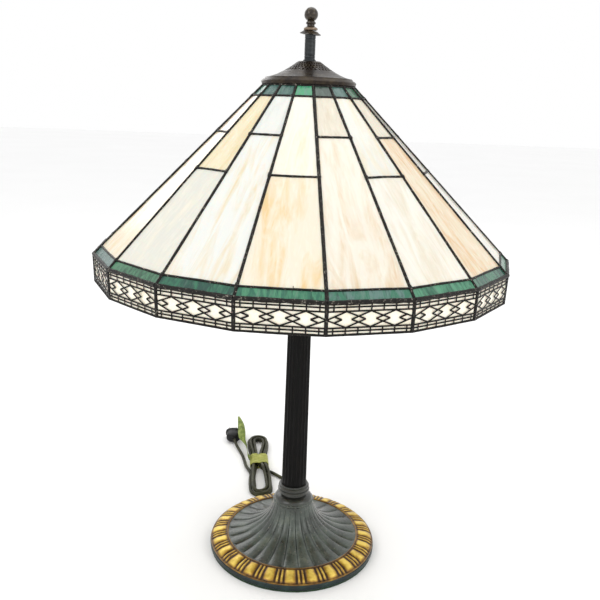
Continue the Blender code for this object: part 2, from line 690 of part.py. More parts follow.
def cord_tube(name, route, points):
    """A round cord along a smooth curve through the route's points."""
    curve = bpy.data.curves.new(name, "CURVE")
    curve.dimensions = "3D"
    curve.bevel_depth = CORD_RADIUS
    curve.bevel_resolution = 2
    curve.use_fill_caps = True
    spline = curve.splines.new("POLY")
    spline.points.add(points - 1)
    for index in range(points):
        place = smooth_point(route, index / (points - 1))
        spline.points[index].co = (*place, 1.0)
    curve.materials.append(CORD)
    piece = bpy.data.objects.new(name, curve)
    bpy.context.scene.collection.objects.link(piece)
    return piece


def smooth_point(route, share):
    """A point of the Catmull-Rom curve through the route, share running from 0 to 1."""
    spans = len(route) - 1
    position = min(share * spans, spans - 1e-9)
    span = int(position)
    t = position - span
    before, start, stop, after = (Vector(route[min(max(span + step, 0), spans)]) for step in (-1, 0, 1, 2))
    return 0.5 * ((2 * start) + (stop - before) * t + (2 * before - 5 * start + 4 * stop - after) * t ** 2
                  + (3 * start - before - 3 * stop + after) * t ** 3)


def hank_frame():
    """Frame of the hank: its own Y runs from foot to head along the table."""
    foot = Vector((*HANK_FOOT, 0.0))
    head = Vector((*HANK_HEAD, 0.0))
    along = (head - foot).normalized()
    side = Vector((along.y, -along.x, 0.0))
    turn = Matrix((side, along, Vector((0.0, 0.0, 1.0)))).transposed().to_4x4()
    return Matrix.Translation(foot) @ turn, (head - foot).length


def hank_half_width(along, length):
    """Half width of the folded cord: round ends and a waist where it is tied."""
    end = HANK_END_RADIUS
    from_end = min(along, length - along)
    if from_end < end:
        return math.sqrt(max(end ** 2 - (end - from_end) ** 2, 0.0))
    middle = length / 2
    plain = TIE_WIDTH / 2 + 0.003
    reach = abs(along - middle)
    if reach < plain:
        return HANK_WAIST
    share = (reach - plain) / (middle - end - plain)
    return HANK_WAIST + (end - HANK_WAIST) * (1 - math.cos(math.pi * min(share * 1.6, 1.0))) / 2


def cord_hank():
    """Outer shape of the folded cord: one outline, extruded to the height of the layers."""
    frame, length = hank_frame()
    end = HANK_END_RADIUS
    stations = [end * (1 - math.cos(math.radians(step * 15))) for step in range(1, 7)]
    middle_steps = 10
    stations += [end + (length / 2 - end) * step / middle_steps for step in range(1, middle_steps + 1)]
    stations += [length - station for station in reversed(stations[:-1])]
    left = [(-hank_half_width(station, length), station) for station in stations]
    right = [(-x, y) for x, y in reversed(left)]
    outline = [(0.0, 0.0)] + left + [(0.0, length)] + right
    bm = bmesh.new()
    corners = [bm.verts.new((x, y, GAP)) for x, y in outline]
    face = bm.faces.new(corners)
    extruded = bmesh.ops.extrude_face_region(bm, geom=[face])
    lifted = [item for item in extruded["geom"] if isinstance(item, bmesh.types.BMVert)]
    bmesh.ops.translate(bm, verts=lifted, vec=(0.0, 0.0, HANK_HEIGHT - GAP))
    bm.transform(frame)
    return add_object("cord_hank", mesh_from(bm, "cord_hank"), CORD)


# loose end of the tape in the hank's frame: x, y, z of its middle, half width, tilt from flat in degrees
TAPE_END = [(-0.0158, 0.1090, 0.0120, 0.0040, 90), (-0.0190, 0.1220, 0.0120, 0.0040, 90),
            (-0.0202, 0.1420, 0.0122, 0.0045, 80), (-0.0228, 0.1560, 0.0140, 0.0052, 50),
            (-0.0280, 0.1720, 0.0185, 0.0070, 15), (-0.0288, 0.1950, 0.0210, 0.0080, 0),
            (-0.0300, 0.2250, 0.0225, 0.0070, 0), (-0.0335, 0.2540, 0.0235, 0.0025, 0)]


def hank_tie():
    """Tape folded over the hank's waist, with a loose end that runs on past the plug."""
    frame, length = hank_frame()
    inner = HANK_WAIST + GAP
    outer = inner + TIE_SHEET
    top = HANK_HEIGHT + GAP
    foot = GAP / 2
    hoop = [(-outer, foot), (-outer, top + TIE_SHEET), (outer, top + TIE_SHEET), (outer, foot),
            (inner, foot), (inner, top), (-inner, top), (-inner, foot)]
    bm = bmesh.new()
    ends = []
    for y in (length / 2 - TIE_WIDTH / 2, length / 2 + TIE_WIDTH / 2):
        ends.append([bm.verts.new((x, y, z)) for x, z in hoop])
    bridge(bm, ends)
    for end in ends:
        for corners in ((0, 1, 6, 7), (1, 2, 5, 6), (2, 3, 4, 5)):
            bm.faces.new([end[corner] for corner in corners])
    bm.transform(frame)
    band = add_object("hank_tie", mesh_from(bm, "hank_tie"), TAPE)

    bm = bmesh.new()
    rings = []
    for x, y, z, half_width, tilt in TAPE_END:
        wide = Vector((math.cos(math.radians(tilt)), 0.0, -math.sin(math.radians(tilt)))) * half_width
        thick = Vector((wide.z, 0.0, -wide.x)).normalized() * TIE_SHEET / 2
        middle = Vector((x, y, z))
        rings.append([bm.verts.new(middle + sideways * wide + through * thick)
                      for sideways, through in ((-1, -1), (1, -1), (1, 1), (-1, 1))])
    bridge(bm, rings)
    bm.faces.new(rings[0])
    bm.faces.new(rings[-1])
    bm.transform(frame)
    boolean(band, tool("tape_end", mesh_from(bm, "tape_end")), "UNION")
    return band


def bridge(bm, rings):
    """Quads between neighbouring closed rings of the same count."""
    for near, far in zip(rings, rings[1:]):
        count = len(near)
        for step in range(count):
            following = (step + 1) % count
            bm.faces.new([near[step], near[following], far[following], far[step]])


def plug():
    """Two-blade plug, moulded on the cord's tail."""
    half = PLUG_WIDTH / 2
    frame = Matrix.Translation((*PLUG_PLACE, GAP)) @ Matrix.Rotation(PLUG_TURN, 4, "Z")
    mesh = box_mesh("plug", (-half, 0.0, 0.0), (half, PLUG_LENGTH, PLUG_HEIGHT))
    bm = bmesh.new()
    bm.from_mesh(mesh)
    upright = [edge for edge in bm.edges if abs(edge.verts[0].co.z - edge.verts[1].co.z) > PLUG_HEIGHT / 2]
    bmesh.ops.bevel(bm, geom=upright, offset=PLUG_CORNER, segments=4, affect="EDGES", profile=0.5)
    bm.to_mesh(mesh)
    bm.free()
    mesh.transform(frame)
    body = add_object("plug", mesh, PLUG_BLACK, origin=frame.translation)
    middle = PLUG_HEIGHT / 2
    for side in (-1, 1):
        x = side * BLADE_SPACING / 2
        low = (x - BLADE_THICKNESS / 2, PLUG_LENGTH - BLADE_ROOT, middle - BLADE_HEIGHT / 2)
        high = (x + BLADE_THICKNESS / 2, PLUG_LENGTH + BLADE_LENGTH, middle + BLADE_HEIGHT / 2)
        blade = box_mesh("blade", low, high)
        boolean(body, tool(f"blade_{side}", blade, frame), "UNION")
    return body


# ---------------------------------------------------------------- build
for old in list(bpy.data.objects):
    bpy.data.objects.remove(old, do_unlink=True)

LEAD = finish("lead", (0.10, 0.09, 0.08), 0.45, 0.9)
CREAM_GLASS = finish("cream_glass", (0.88, 0.84, 0.74), 0.15, 0.0, 0.95)
GREEN_GLASS = finish("green_glass", (0.18, 0.42, 0.34), 0.15, 0.0, 0.95)
FILIGREE_BRASS = finish("filigree_brass", (0.16, 0.13, 0.09), 0.45, 0.9)
BRONZE = finish("bronze", (0.22, 0.16, 0.11), 0.45, 0.9)
BRONZE_DARK = finish("bronze_dark", (0.14, 0.10, 0.07), 0.40, 0.9)
BRONZE_BLACK = finish("bronze_black", (0.05, 0.05, 0.045), 0.45, 0.8)
STEEL_BLACK = finish("steel_black", (0.10, 0.11, 0.12), 0.35, 0.9)
STEEL = finish("steel", (0.55, 0.55, 0.55), 0.40, 1.0)
BRASS = finish("brass", (0.70, 0.52, 0.25), 0.30, 1.0)
OPAL = finish("opal", (0.93, 0.92, 0.88), 0.30)
PATINA = finish("patina", (0.23, 0.27, 0.25), 0.40, 0.6)
FELT = finish("felt", (0.04, 0.12, 0.10), 0.95)
RUBBER = finish("rubber", (0.03, 0.03, 0.03), 0.70)
CORD = finish("cord", (0.10, 0.10, 0.07), 0.60)
TAPE = finish("tape", (0.62, 0.64, 0.25), 0.60)
PLUG_BLACK = finish("plug_black", (0.03, 0.03, 0.03), 0.50)

shade_axis = empty("shade_axis")
lead_frame(shade_axis)
panes(shade_axis)
glass_rings(shade_axis)
skirt_filigree(shade_axis)
vented_cap(shade_axis)
riser_sleeve()
finial_washer()
finial_knob()
centre_rod()
twin_socket()
bulbs()
pull_chains()
column()
base_casting()
base_pad()
cord_bushing()
cord_tube("cord_lead", LEAD_ROUTE, 14)
cord_tube("cord_tail", TAIL_ROUTE, 12)
cord_hank()
hank_tie()
plug()
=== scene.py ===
import math
import random

import bmesh
import bpy
import numpy as np
from mathutils import Matrix, Vector


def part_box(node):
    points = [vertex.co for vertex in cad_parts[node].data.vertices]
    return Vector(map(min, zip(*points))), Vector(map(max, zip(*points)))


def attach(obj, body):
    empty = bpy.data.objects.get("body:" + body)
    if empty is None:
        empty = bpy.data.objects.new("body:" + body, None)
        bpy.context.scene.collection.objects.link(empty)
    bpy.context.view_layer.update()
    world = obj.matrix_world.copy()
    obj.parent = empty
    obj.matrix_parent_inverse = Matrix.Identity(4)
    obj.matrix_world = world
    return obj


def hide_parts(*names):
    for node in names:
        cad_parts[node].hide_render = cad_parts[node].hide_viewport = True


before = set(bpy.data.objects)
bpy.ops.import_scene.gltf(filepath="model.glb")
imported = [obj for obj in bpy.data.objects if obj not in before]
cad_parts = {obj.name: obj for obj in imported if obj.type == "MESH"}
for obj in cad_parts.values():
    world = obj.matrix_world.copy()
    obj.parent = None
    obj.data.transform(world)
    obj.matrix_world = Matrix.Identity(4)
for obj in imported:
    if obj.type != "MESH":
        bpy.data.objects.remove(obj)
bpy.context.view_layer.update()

# Metres, +Z up. The lamp stands on the origin, its front is -Y.


# ---- Camera: eye level a little under the finial, looking slightly down at the lamp's middle.
# A normal lens close by, so the skirt's ends turn away strongly.
EYE = Vector((0.0, -0.9026, 0.5888))
LOOK_DOWN = math.radians(14.80)
LOOK_ASIDE = math.radians(0.05)
CAMERA_ROLL = math.radians(2.11)

camera = bpy.data.objects.new("camera", bpy.data.cameras.new("camera"))
bpy.context.scene.collection.objects.link(camera)
camera.data.sensor_width = 36.0
camera.data.lens = 43.73
camera.data.clip_start = 0.05
aim = Matrix.Rotation(LOOK_ASIDE, 4, "Z") @ Matrix.Rotation(math.pi / 2 - LOOK_DOWN, 4, "X")
camera.matrix_world = Matrix.Translation(EYE) @ aim @ Matrix.Rotation(CAMERA_ROLL, 4, "Z")
bpy.context.scene.camera = camera


# ---- Mains cord: a round two-core vinyl flex, 5 mm thick and about 1.8 m long. It leaves the back
# of the base, runs under a hank of four turns, wound from the inside out, and on to the plug.
# The free stretches follow chosen points; the hank's runs and folds are worked out below.
CORD_DIAMETER = 0.005
LEAD_ROUTE = [(0.0000, 0.1383, 0.0062), (-0.0005, 0.1450, 0.0057), (-0.0025, 0.1530, 0.0042),
              (-0.0070, 0.1610, 0.0031), (-0.0130, 0.1680, 0.0029), (-0.0200, 0.1743, 0.0029),
              (-0.0270, 0.1808, 0.0030), (-0.0335, 0.1868, 0.0034), (-0.0386, 0.1917, 0.0037)]
TAIL_ROUTE = [(-0.0754, 0.1949, 0.0045), (-0.0783, 0.2010, 0.0036), (-0.0808, 0.2080, 0.0030),
              (-0.0832, 0.2170, 0.0028), (-0.0858, 0.2290, 0.0028), (-0.0892, 0.2430, 0.0028),
              (-0.0940, 0.2575, 0.0030), (-0.1000, 0.2720, 0.0038), (-0.1057, 0.2850, 0.0062),
              (-0.1093, 0.2963, 0.0088)]
HANK_FOOT = Vector((-0.0495, 0.1130, 0.0))
HANK_HEAD = Vector((-0.0700, 0.3215, 0.0))
# from the outermost turn in: places of its left and right runs at the folds, their layer, their
# place beside the middle line under the tie and their layer there
HANK_TURNS = [(0.0162, 0.0162, 0.0, 0.0123, 0.0), (0.0125, 0.0150, 1.0, 0.0093, 1.0),
              (0.0098, 0.0108, 0.0, 0.0066, 0.0), (0.0068, 0.0095, 1.0, 0.0031, 1.0)]
FOLD_SHIFT = 0.0014               # each turn's fold is centred this far inside the one round it
WAIST_SHIFT = 0.0080              # the tie sits this far past the hank's middle
CROSSING = 0.0805                 # how far along the hank the lead passes under its right-hand pile
CROSSING_SPREAD = 0.0125
LAST_RUN_END = 0.0700             # where the outermost run leaves the hank for the plug
TABLE_GAP = 0.0003
LAYER = CORD_DIAMETER + 0.0001

hank_length = (HANK_HEAD - HANK_FOOT).length
hank_along = (HANK_HEAD - HANK_FOOT).normalized()
hank_side = Vector((hank_along.y, -hank_along.x, 0.0))
hank_turn = Matrix((hank_side, hank_along, Vector((0.0, 0.0, 1.0)))).transposed()
cord_low = CORD_DIAMETER / 2 + TABLE_GAP
hank_waist = hank_length / 2 + WAIST_SHIFT
hank_first_fold = HANK_TURNS[0][0] + CORD_DIAMETER / 2 + 0.0005


def eased(share):
    """Runs from 0 to 1 with soft ends."""
    share = min(max(share, 0.0), 1.0)
    return share * share * (3 - 2 * share)


def smooth_line(points, steps):
    """Catmull-Rom points through the given ones."""
    points = [Vector(point) for point in points]
    line = []
    for span in range(len(points) - 1):
        before, start, stop, after = (points[min(max(span + step, 0), len(points) - 1)]
                                      for step in (-1, 0, 1, 2))
        for step in range(steps):
            t = step / steps
            line.append(0.5 * ((2 * start) + (stop - before) * t
                               + (2 * before - 5 * start + 4 * stop - after) * t ** 2
                               + (3 * start - before - 3 * stop + after) * t ** 3))
    line.append(points[-1])
    return line


def hank_hump(along):
    """How far the right-hand pile rises where the lead passes under it."""
    return CORD_DIAMETER * 0.95 * math.exp(-((along - CROSSING) / CROSSING_SPREAD) ** 2)


def hank_run(side, start, stop, turn):
    """One run of a turn: side -1 or 1, between two places along it, drawn in under the tie."""
    line = []
    left, right, layer, waist, waist_layer = HANK_TURNS[turn]
    radius = left if side < 0 else right
    count = max(2, round(abs(stop - start) / 0.008))
    for step in range(count + 1):
        along = start + (stop - start) * step / count
        spread = eased((abs(along - hank_waist) - 0.013) / 0.050)
        wander = 0.0005 * math.sin(along * 70 + turn * 2.1 + side)
        across = side * (waist + (radius - waist) * spread + wander)
        rise = hank_hump(along) if side > 0 else 0.0
        height = waist_layer + (layer - waist_layer) * spread
        line.append(Vector((across, along, cord_low + LAYER * height + rise)))
    return line


def hank_fold(end, start_turn, stop_turn):
    """The round fold at one end (-1 foot, 1 head) that joins two runs."""
    first = 1 if end < 0 else -1
    opening, closing = (1, 0) if end < 0 else (0, 1)
    start_radius, stop_radius = HANK_TURNS[start_turn][opening], HANK_TURNS[stop_turn][closing]
    start_layer, stop_layer = HANK_TURNS[start_turn][2], HANK_TURNS[stop_turn][2]
    radius = (start_radius + stop_radius) / 2
    middle = hank_first_fold + FOLD_SHIFT * (start_turn + stop_turn) / 2
    centre = middle if end < 0 else hank_length - middle
    line = []
    for step in range(1, 12):
        angle = math.pi * step / 12
        layer = start_layer + (stop_layer - start_layer) * step / 12
        line.append(Vector((first * (radius * math.cos(angle) + (start_radius - stop_radius) / 2),
                            centre + end * radius * math.sin(angle), cord_low + LAYER * layer)))
    return line


hank_line = [Vector((0.0125, 0.0815, cord_low)), Vector((0.0068, 0.0880, cord_low)),
             Vector((0.0026, 0.0960, cord_low))]
run_start = 0.1080
for turn in reversed(range(len(HANK_TURNS))):
    fold_middle = hank_first_fold + FOLD_SHIFT * turn
    hank_line += hank_run(-1, run_start, hank_length - fold_middle, turn)
    hank_line += hank_fold(1, turn, turn)
    hank_line += hank_run(1, hank_length - fold_middle, fold_middle, turn)
    hank_line += hank_fold(-1, turn, max(turn - 1, 0))
    run_start = fold_middle
hank_line += hank_run(-1, run_start, LAST_RUN_END, 0)
hank_line = [HANK_FOOT + hank_turn @ point for point in hank_line]
rough_line = smooth_line(LEAD_ROUTE + hank_line + TAIL_ROUTE, 4)


def evenly(points, spacing, rounds):
    """The same line with points evenly spaced, rounded off by averaging neighbours."""
    points = np.array([tuple(point) for point in points])
    travelled = np.concatenate([[0.0], np.cumsum(np.linalg.norm(np.diff(points, axis=0), axis=1))])
    places = np.linspace(0.0, travelled[-1], max(3, round(travelled[-1] / spacing)))
    line = np.stack([np.interp(places, travelled, points[:, axis]) for axis in range(3)], axis=1)
    for _ in range(rounds):
        line[1:-1] = (line[:-2] + 2 * line[1:-1] + line[2:]) / 4
    return line


cord_line = evenly(rough_line, 0.0028, 5)

curve = bpy.data.curves.new("mains_cord", "CURVE")
curve.dimensions = "3D"
curve.bevel_depth = CORD_DIAMETER / 2
curve.bevel_resolution = 4
curve.use_fill_caps = True
spline = curve.splines.new("POLY")
spline.points.add(len(cord_line) - 1)
for point, place in zip(spline.points, cord_line):
    point.co = (*place, 1.0)
spline.use_smooth = True
mains_cord = bpy.data.objects.new("mains_cord", curve)
bpy.context.scene.collection.objects.link(mains_cord)


def paint(red, green, blue):
    """A colour as mixed on a screen, 0 to 255, turned into linear light."""
    return tuple(((value / 255 + 0.055) / 1.055) ** 2.4 if value > 10 else value / 3295
                 for value in (red, green, blue)) + (1.0,)


class Finish:
    """A material under construction: a Principled shader and the texture nodes that feed it."""

    def __init__(self, name, roughness, metallic=0.0, **sockets):
        self.material = bpy.data.materials.new(name)
        self.material.use_nodes = True
        self.nodes = self.material.node_tree.nodes
        self.links = self.material.node_tree.links
        self.shader = self.nodes["Principled BSDF"]
        self.place = self.nodes.new("ShaderNodeTexCoord").outputs["Object"]
        self.shader.inputs["Roughness"].default_value = roughness
        self.shader.inputs["Metallic"].default_value = metallic
        for socket, value in sockets.items():
            self.shader.inputs[socket.replace("_", " ")].default_value = value
        self.height = None

    def feed(self, socket, source):
        """Lead a source into one of the shader's sockets."""
        self.links.new(source, self.shader.inputs[socket])

    def stretched(self, place, scale):
        """Texture coordinates scaled by three numbers."""
        node = self.nodes.new("ShaderNodeMapping")
        node.inputs["Scale"].default_value = scale
        self.links.new(place, node.inputs["Vector"])
        return node.outputs["Vector"]

    def noise(self, scale, detail=4.0, place=None, distortion=0.0, rough=0.5):
        """Cloudy noise; a larger scale makes it finer."""
        node = self.nodes.new("ShaderNodeTexNoise")
        node.inputs["Scale"].default_value = scale
        node.inputs["Detail"].default_value = detail
        node.inputs["Distortion"].default_value = distortion
        node.inputs["Roughness"].default_value = rough
        self.links.new(place or self.place, node.inputs["Vector"])
        return node.outputs["Fac"]

    def own(self, name):
        """What the mesh carries point by point under this name: its colour and its number."""
        node = self.nodes.new("ShaderNodeAttribute")
        node.attribute_name = name
        return node

    def ramp(self, source, *stops):
        """Colours or grey levels at places from 0 to 1."""
        node = self.nodes.new("ShaderNodeValToRGB")
        node.color_ramp.elements.remove(node.color_ramp.elements[1])
        for index, (place, colour) in enumerate(stops):
            stop = node.color_ramp.elements[0] if index == 0 else node.color_ramp.elements.new(place)
            stop.position = place
            stop.color = colour if isinstance(colour, tuple) else (colour, colour, colour, 1.0)
        self.links.new(source, node.inputs["Fac"])
        return node.outputs["Color"]

    def mix(self, amount, first, second, blend="MIX"):
        """Two colours mixed by a source or a number."""
        node = self.nodes.new("ShaderNodeMix")
        node.data_type = "RGBA"
        node.blend_type = blend
        for socket, value in ((node.inputs[0], amount), (node.inputs[6], first), (node.inputs[7], second)):
            if isinstance(value, (tuple, float)):
                socket.default_value = value
            else:
                self.links.new(value, socket)
        return node.outputs[2]

    def maths(self, operation, first, second):
        """A sum on two sources or numbers."""
        node = self.nodes.new("ShaderNodeMath")
        node.operation = operation
        for socket, value in zip(node.inputs, (first, second)):
            if isinstance(value, float):
                socket.default_value = value
            else:
                self.links.new(value, socket)
        return node.outputs[0]

    def colour(self, source, *stops):
        """The surface's colour, from a source through a ramp."""
        self.feed("Base Color", self.ramp(source, *stops))

    def shine(self, source, low, high):
        """Roughness that runs between two values with a source."""
        self.feed("Roughness", self.ramp(source, (0.3, low), (0.7, high)))

    def bump(self, source, distance):
        """Relief from a texture, in metres, on top of any relief given before."""
        node = self.nodes.new("ShaderNodeBump")
        node.inputs["Distance"].default_value = distance
        self.links.new(source, node.inputs["Height"])
        if self.height:
            self.links.new(self.height, node.inputs["Normal"])
        self.height = node.outputs["Normal"]
        self.feed("Normal", self.height)


vinyl = Finish("olive_vinyl", 0.42, Specular_IOR_Level=0.25)
vinyl.colour(vinyl.noise(55, 5), (0.3, paint(34, 34, 18)), (0.55, paint(54, 54, 33)),
             (0.75, paint(76, 76, 50)))
vinyl.shine(vinyl.noise(140, 3), 0.34, 0.55)
vinyl.bump(vinyl.noise(420, 2), 0.0004)
curve.materials.append(vinyl.material)
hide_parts("cord_lead", "cord_hank", "cord_tail")
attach(mains_cord, "root")


def mesh_of(name, points, faces):
    """A mesh from points and faces, with its faces turned outward."""
    mesh = bpy.data.meshes.new(name)
    mesh.from_pydata([tuple(point) for point in points], [], faces)
    bm = bmesh.new()
    bm.from_mesh(mesh)
    bmesh.ops.recalc_face_normals(bm, faces=bm.faces)
    bm.to_mesh(mesh)
    bm.free()
    return mesh


def show(name, mesh, finish, body, slot, *nodes, sharp=38):
    """Link a finished mesh as a piece that rides on a body and stands for CAD nodes."""
    mesh.shade_smooth()
    mesh.set_sharp_from_angle(angle=math.radians(sharp))
    mesh.materials.append(finish.material)
    piece = bpy.data.objects.new(name, mesh)
    bpy.context.scene.collection.objects.link(piece)
    if nodes:
        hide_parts(*nodes)
    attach(piece, body)
    return piece


def skin(rings, round_about=True, capped=False, endless=False):
    """Points and faces of a skin over rings of equal count."""
    count = len(rings[0])
    points = [point for ring in rings for point in ring]
    faces = []
    spans = len(rings) if endless else len(rings) - 1
    for ring in range(spans):
        following = (ring + 1) % len(rings)
        for step in range(count if round_about else count - 1):
            beside = (step + 1) % count
            faces.append((ring * count + step, ring * count + beside,
                          following * count + beside, following * count + step))
    if capped:
        faces.append(tuple(range(count)))
        faces.append(tuple(range((len(rings) - 1) * count, len(rings) * count)))
    return points, faces


def turned(outline, segments, shape=None):
    """Points and faces of a closed outline of (radius, height), turned about the lamp's axis.

    shape(radius, height, angle) may change the radius and height at each angle.
    """
    rings = []
    for radius, height in outline:
        ring = []
        for step in range(segments):
            angle = 2 * math.pi * step / segments
            r, z = shape(radius, height, angle) if shape else (radius, height)
            ring.append((r * math.sin(angle), -r * math.cos(angle), z))
        rings.append(ring)
    return skin(rings, endless=True)


# ---- Strain relief: a black rubber sleeve pushed into the notch at the back of the base.
# It tapers along the cord, with moulded rings that let it bend.
BUSHING_RING = 0.0032
relief_low, relief_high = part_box("cord_bushing")
relief_radius = (relief_high.x - relief_low.x) / 2
relief_axis = (relief_low.z + relief_high.z) / 2
relief_end = CORD_DIAMETER / 2 + 0.0004
relief_start = relief_low.y + 0.0130
relief_outline = [(0.0008, relief_low.y), (relief_radius, relief_low.y), (relief_radius, relief_start)]
rings_on_relief = int((relief_high.y - relief_start) / BUSHING_RING)
for number in range(rings_on_relief):
    ring_place = relief_start + BUSHING_RING * (number + 0.15)
    narrowed = relief_radius + (relief_end - relief_radius) * (number + 0.5) / rings_on_relief
    relief_outline += [(narrowed - 0.0005, ring_place), (narrowed - 0.0005, ring_place + 0.0010),
                       (narrowed, ring_place + 0.0014), (narrowed, ring_place + 0.0026)]
relief_outline += [(relief_end, relief_high.y), (0.0008, relief_high.y)]
rubber = Finish("black_rubber", 0.6)
rubber.colour(rubber.noise(300, 4), (0.3, paint(22, 22, 20)), (0.7, paint(44, 43, 40)))
rubber.bump(rubber.noise(900, 2), 0.0002)
relief_points, relief_faces = turned(relief_outline, 28)
relief_mesh = mesh_of("strain_relief", relief_points, relief_faces)
relief_mesh.transform(Matrix.Translation((0.0, 0.0, relief_axis)) @ Matrix.Rotation(-math.pi / 2, 4, "X"))
strain_relief = show("strain_relief", relief_mesh, rubber, "root", "rubber", "cord_bushing")


# ---- Tie: a strip of yellow-green masking tape round the hank's waist, sagging between the two
# piles of cord, with its loose end folded to a thin leaf that stands past the plug.
TAPE_WIDTH = 0.0340
TAPE_SHEET = 0.00035
TAPE_END = [(-0.0158, 0.1090, 0.0120, 0.0040, 90), (-0.0190, 0.1220, 0.0120, 0.0040, 90),
            (-0.0202, 0.1420, 0.0122, 0.0045, 80), (-0.0228, 0.1560, 0.0140, 0.0052, 50),
            (-0.0280, 0.1720, 0.0185, 0.0060, 15), (-0.0288, 0.1950, 0.0210, 0.0066, 0),
            (-0.0300, 0.2250, 0.0225, 0.0054, 0), (-0.0335, 0.2540, 0.0235, 0.0018, 0)]

tape_rings = []
pile_top = cord_low + LAYER + CORD_DIAMETER / 2
pile_out = HANK_TURNS[0][3] + CORD_DIAMETER / 2 + TAPE_SHEET
for step in range(13):
    along = hank_waist + TAPE_WIDTH * (step / 12 - 0.5)
    pull = 0.0005 * math.sin(step * 1.7) * math.sin(step * 0.9)
    rise = hank_hump(along)
    over = pile_top + TAPE_SHEET
    hoop = [(0.0, TABLE_GAP), (-0.0105, TABLE_GAP), (-pile_out + 0.0010, 0.0014), (-pile_out, 0.0040),
            (-pile_out + 0.0008, 0.0072), (-0.0112, over - 0.0004), (-0.0092, over),
            (-0.0045, over + 0.0003), (-0.0004, over - 0.0007 + pull + rise * 0.4),
            (0.0045, over + 0.0003 + rise * 0.8),
            (0.0093, over + rise), (0.0116, over - 0.0004 + rise), (pile_out - 0.0006, 0.0072 + rise),
            (pile_out, 0.0040), (pile_out - 0.0010, 0.0014), (0.0105, TABLE_GAP), (0.0, TABLE_GAP)]
    ring = smooth_line([(x, along + pull * (1 if z > 0.01 else 0.3), z) for x, z in hoop], 4)[:-1]
    tape_rings.append([HANK_FOOT + hank_turn @ point for point in ring])
tape_points, tape_faces = skin(tape_rings)

leaf_line = smooth_line([(x, y, z) for x, y, z, _, _ in TAPE_END], 6)
leaf_sizes = smooth_line([(half, tilt, 0.0) for _, _, _, half, tilt in TAPE_END], 6)
leaf_rings = []
for middle, size in zip(leaf_line, leaf_sizes):
    tilt = math.radians(size.y)
    wide = Vector((math.cos(tilt), 0.0, -math.sin(tilt)))
    thick = Vector((wide.z, 0.0, -wide.x))
    ring = []
    for share in (-1.0, -0.6, -0.2, 0.15, 0.6, 1.0):
        crease = 0.0011 * (1 - abs(share)) * math.cos(tilt)
        ring.append(HANK_FOOT + hank_turn @ (middle + wide * size.x * share - thick * crease))
    leaf_rings.append(ring)
leaf_points, leaf_faces = skin(leaf_rings, round_about=False)

tape = Finish("masking_tape", 0.62, Specular_IOR_Level=0.3)
crepe = tape.noise(160, 4, place=tape.stretched(tape.place, (1.0, 3.0, 1.0)))
tape.colour(crepe, (0.25, paint(116, 122, 46)), (0.5, paint(158, 160, 76)), (0.8, paint(186, 188, 110)))
tape.bump(crepe, 0.0009)
leaf_tape = Finish("green_tape_leaf", 0.55, Specular_IOR_Level=0.35)
leaf_crepe = leaf_tape.noise(120, 4, place=leaf_tape.stretched(leaf_tape.place, (2.5, 0.8, 1.0)))
leaf_tape.colour(leaf_crepe, (0.3, paint(70, 88, 20)), (0.5, paint(104, 122, 36)),
                 (0.72, paint(150, 160, 84)))
leaf_tape.bump(leaf_crepe, 0.0008)


def sheeted(piece, thickness):
    """Give a single skin its thickness."""
    solid = piece.modifiers.new("sheet", "SOLIDIFY")
    solid.thickness = thickness
    solid.offset = 1.0
    return piece


tape_tie = sheeted(show("tape_tie", mesh_of("tape_tie", tape_points, tape_faces), tape, "root",
                        "paper_tape", "hank_tie"), TAPE_SHEET)
tape_leaf = sheeted(show("tape_leaf", mesh_of("tape_leaf", leaf_points, leaf_faces), leaf_tape, "root",
                         "paper_tape"), TAPE_SHEET)


# ---- Plug: a black moulded two-blade plug on the cord's tail, lying on its flat side.
# A waisted grip with ridges, a face plate, and two flat nickel blades with a hole near each tip.
PLUG_PLACE = Vector((-0.1105, 0.2970, TABLE_GAP))
PLUG_TURN = math.radians(8.0)
PLUG_LENGTH = 0.0300
BLADE = (0.0015, 0.0160, 0.0063)
BLADE_SPACING = 0.0127
# place along the plug, half width, half height
PLUG_STATIONS = [(-0.0010, 0.0034, 0.0034), (0.0000, 0.0042, 0.0042), (0.0022, 0.0088, 0.0066),
                 (0.0060, 0.0118, 0.0080), (0.0110, 0.0124, 0.0084), (0.0180, 0.0114, 0.0078),
                 (0.0235, 0.0116, 0.0080), (0.0262, 0.0133, 0.0089), (0.0290, 0.0134, 0.0089),
                 (0.0300, 0.0126, 0.0082)]
plug_frame = Matrix.Translation(PLUG_PLACE) @ Matrix.Rotation(PLUG_TURN, 4, "Z")
plug_rings = []
for along, half_width, half_height in smooth_line(PLUG_STATIONS, 6):
    ridge = 0.0005 * max(0.0, math.sin(along * 2100)) if 0.006 < along < 0.022 else 0.0
    ring = []
    for step in range(32):
        angle = 2 * math.pi * step / 32
        x = math.copysign(abs(math.cos(angle)) ** 0.78, math.cos(angle)) * (half_width + ridge)
        z = math.copysign(abs(math.sin(angle)) ** 0.78, math.sin(angle)) * half_height
        ring.append(plug_frame @ Vector((x, along, 0.0090 + z)))
    plug_rings.append(ring)
plug_points, plug_faces = skin(plug_rings, capped=True)
plug_plastic = Finish("plug_plastic", 0.45, Specular_IOR_Level=0.25)
plug_plastic.colour(plug_plastic.noise(120, 4), (0.3, paint(8, 8, 8)), (0.75, paint(18, 17, 16)))
plug_plastic.shine(plug_plastic.noise(90, 3), 0.32, 0.55)
plug_plastic.bump(plug_plastic.noise(800, 2), 0.0002)
plug_body = show("plug_body", mesh_of("plug_body", plug_points, plug_faces), plug_plastic, "root",
                 "plug_plastic", "plug")

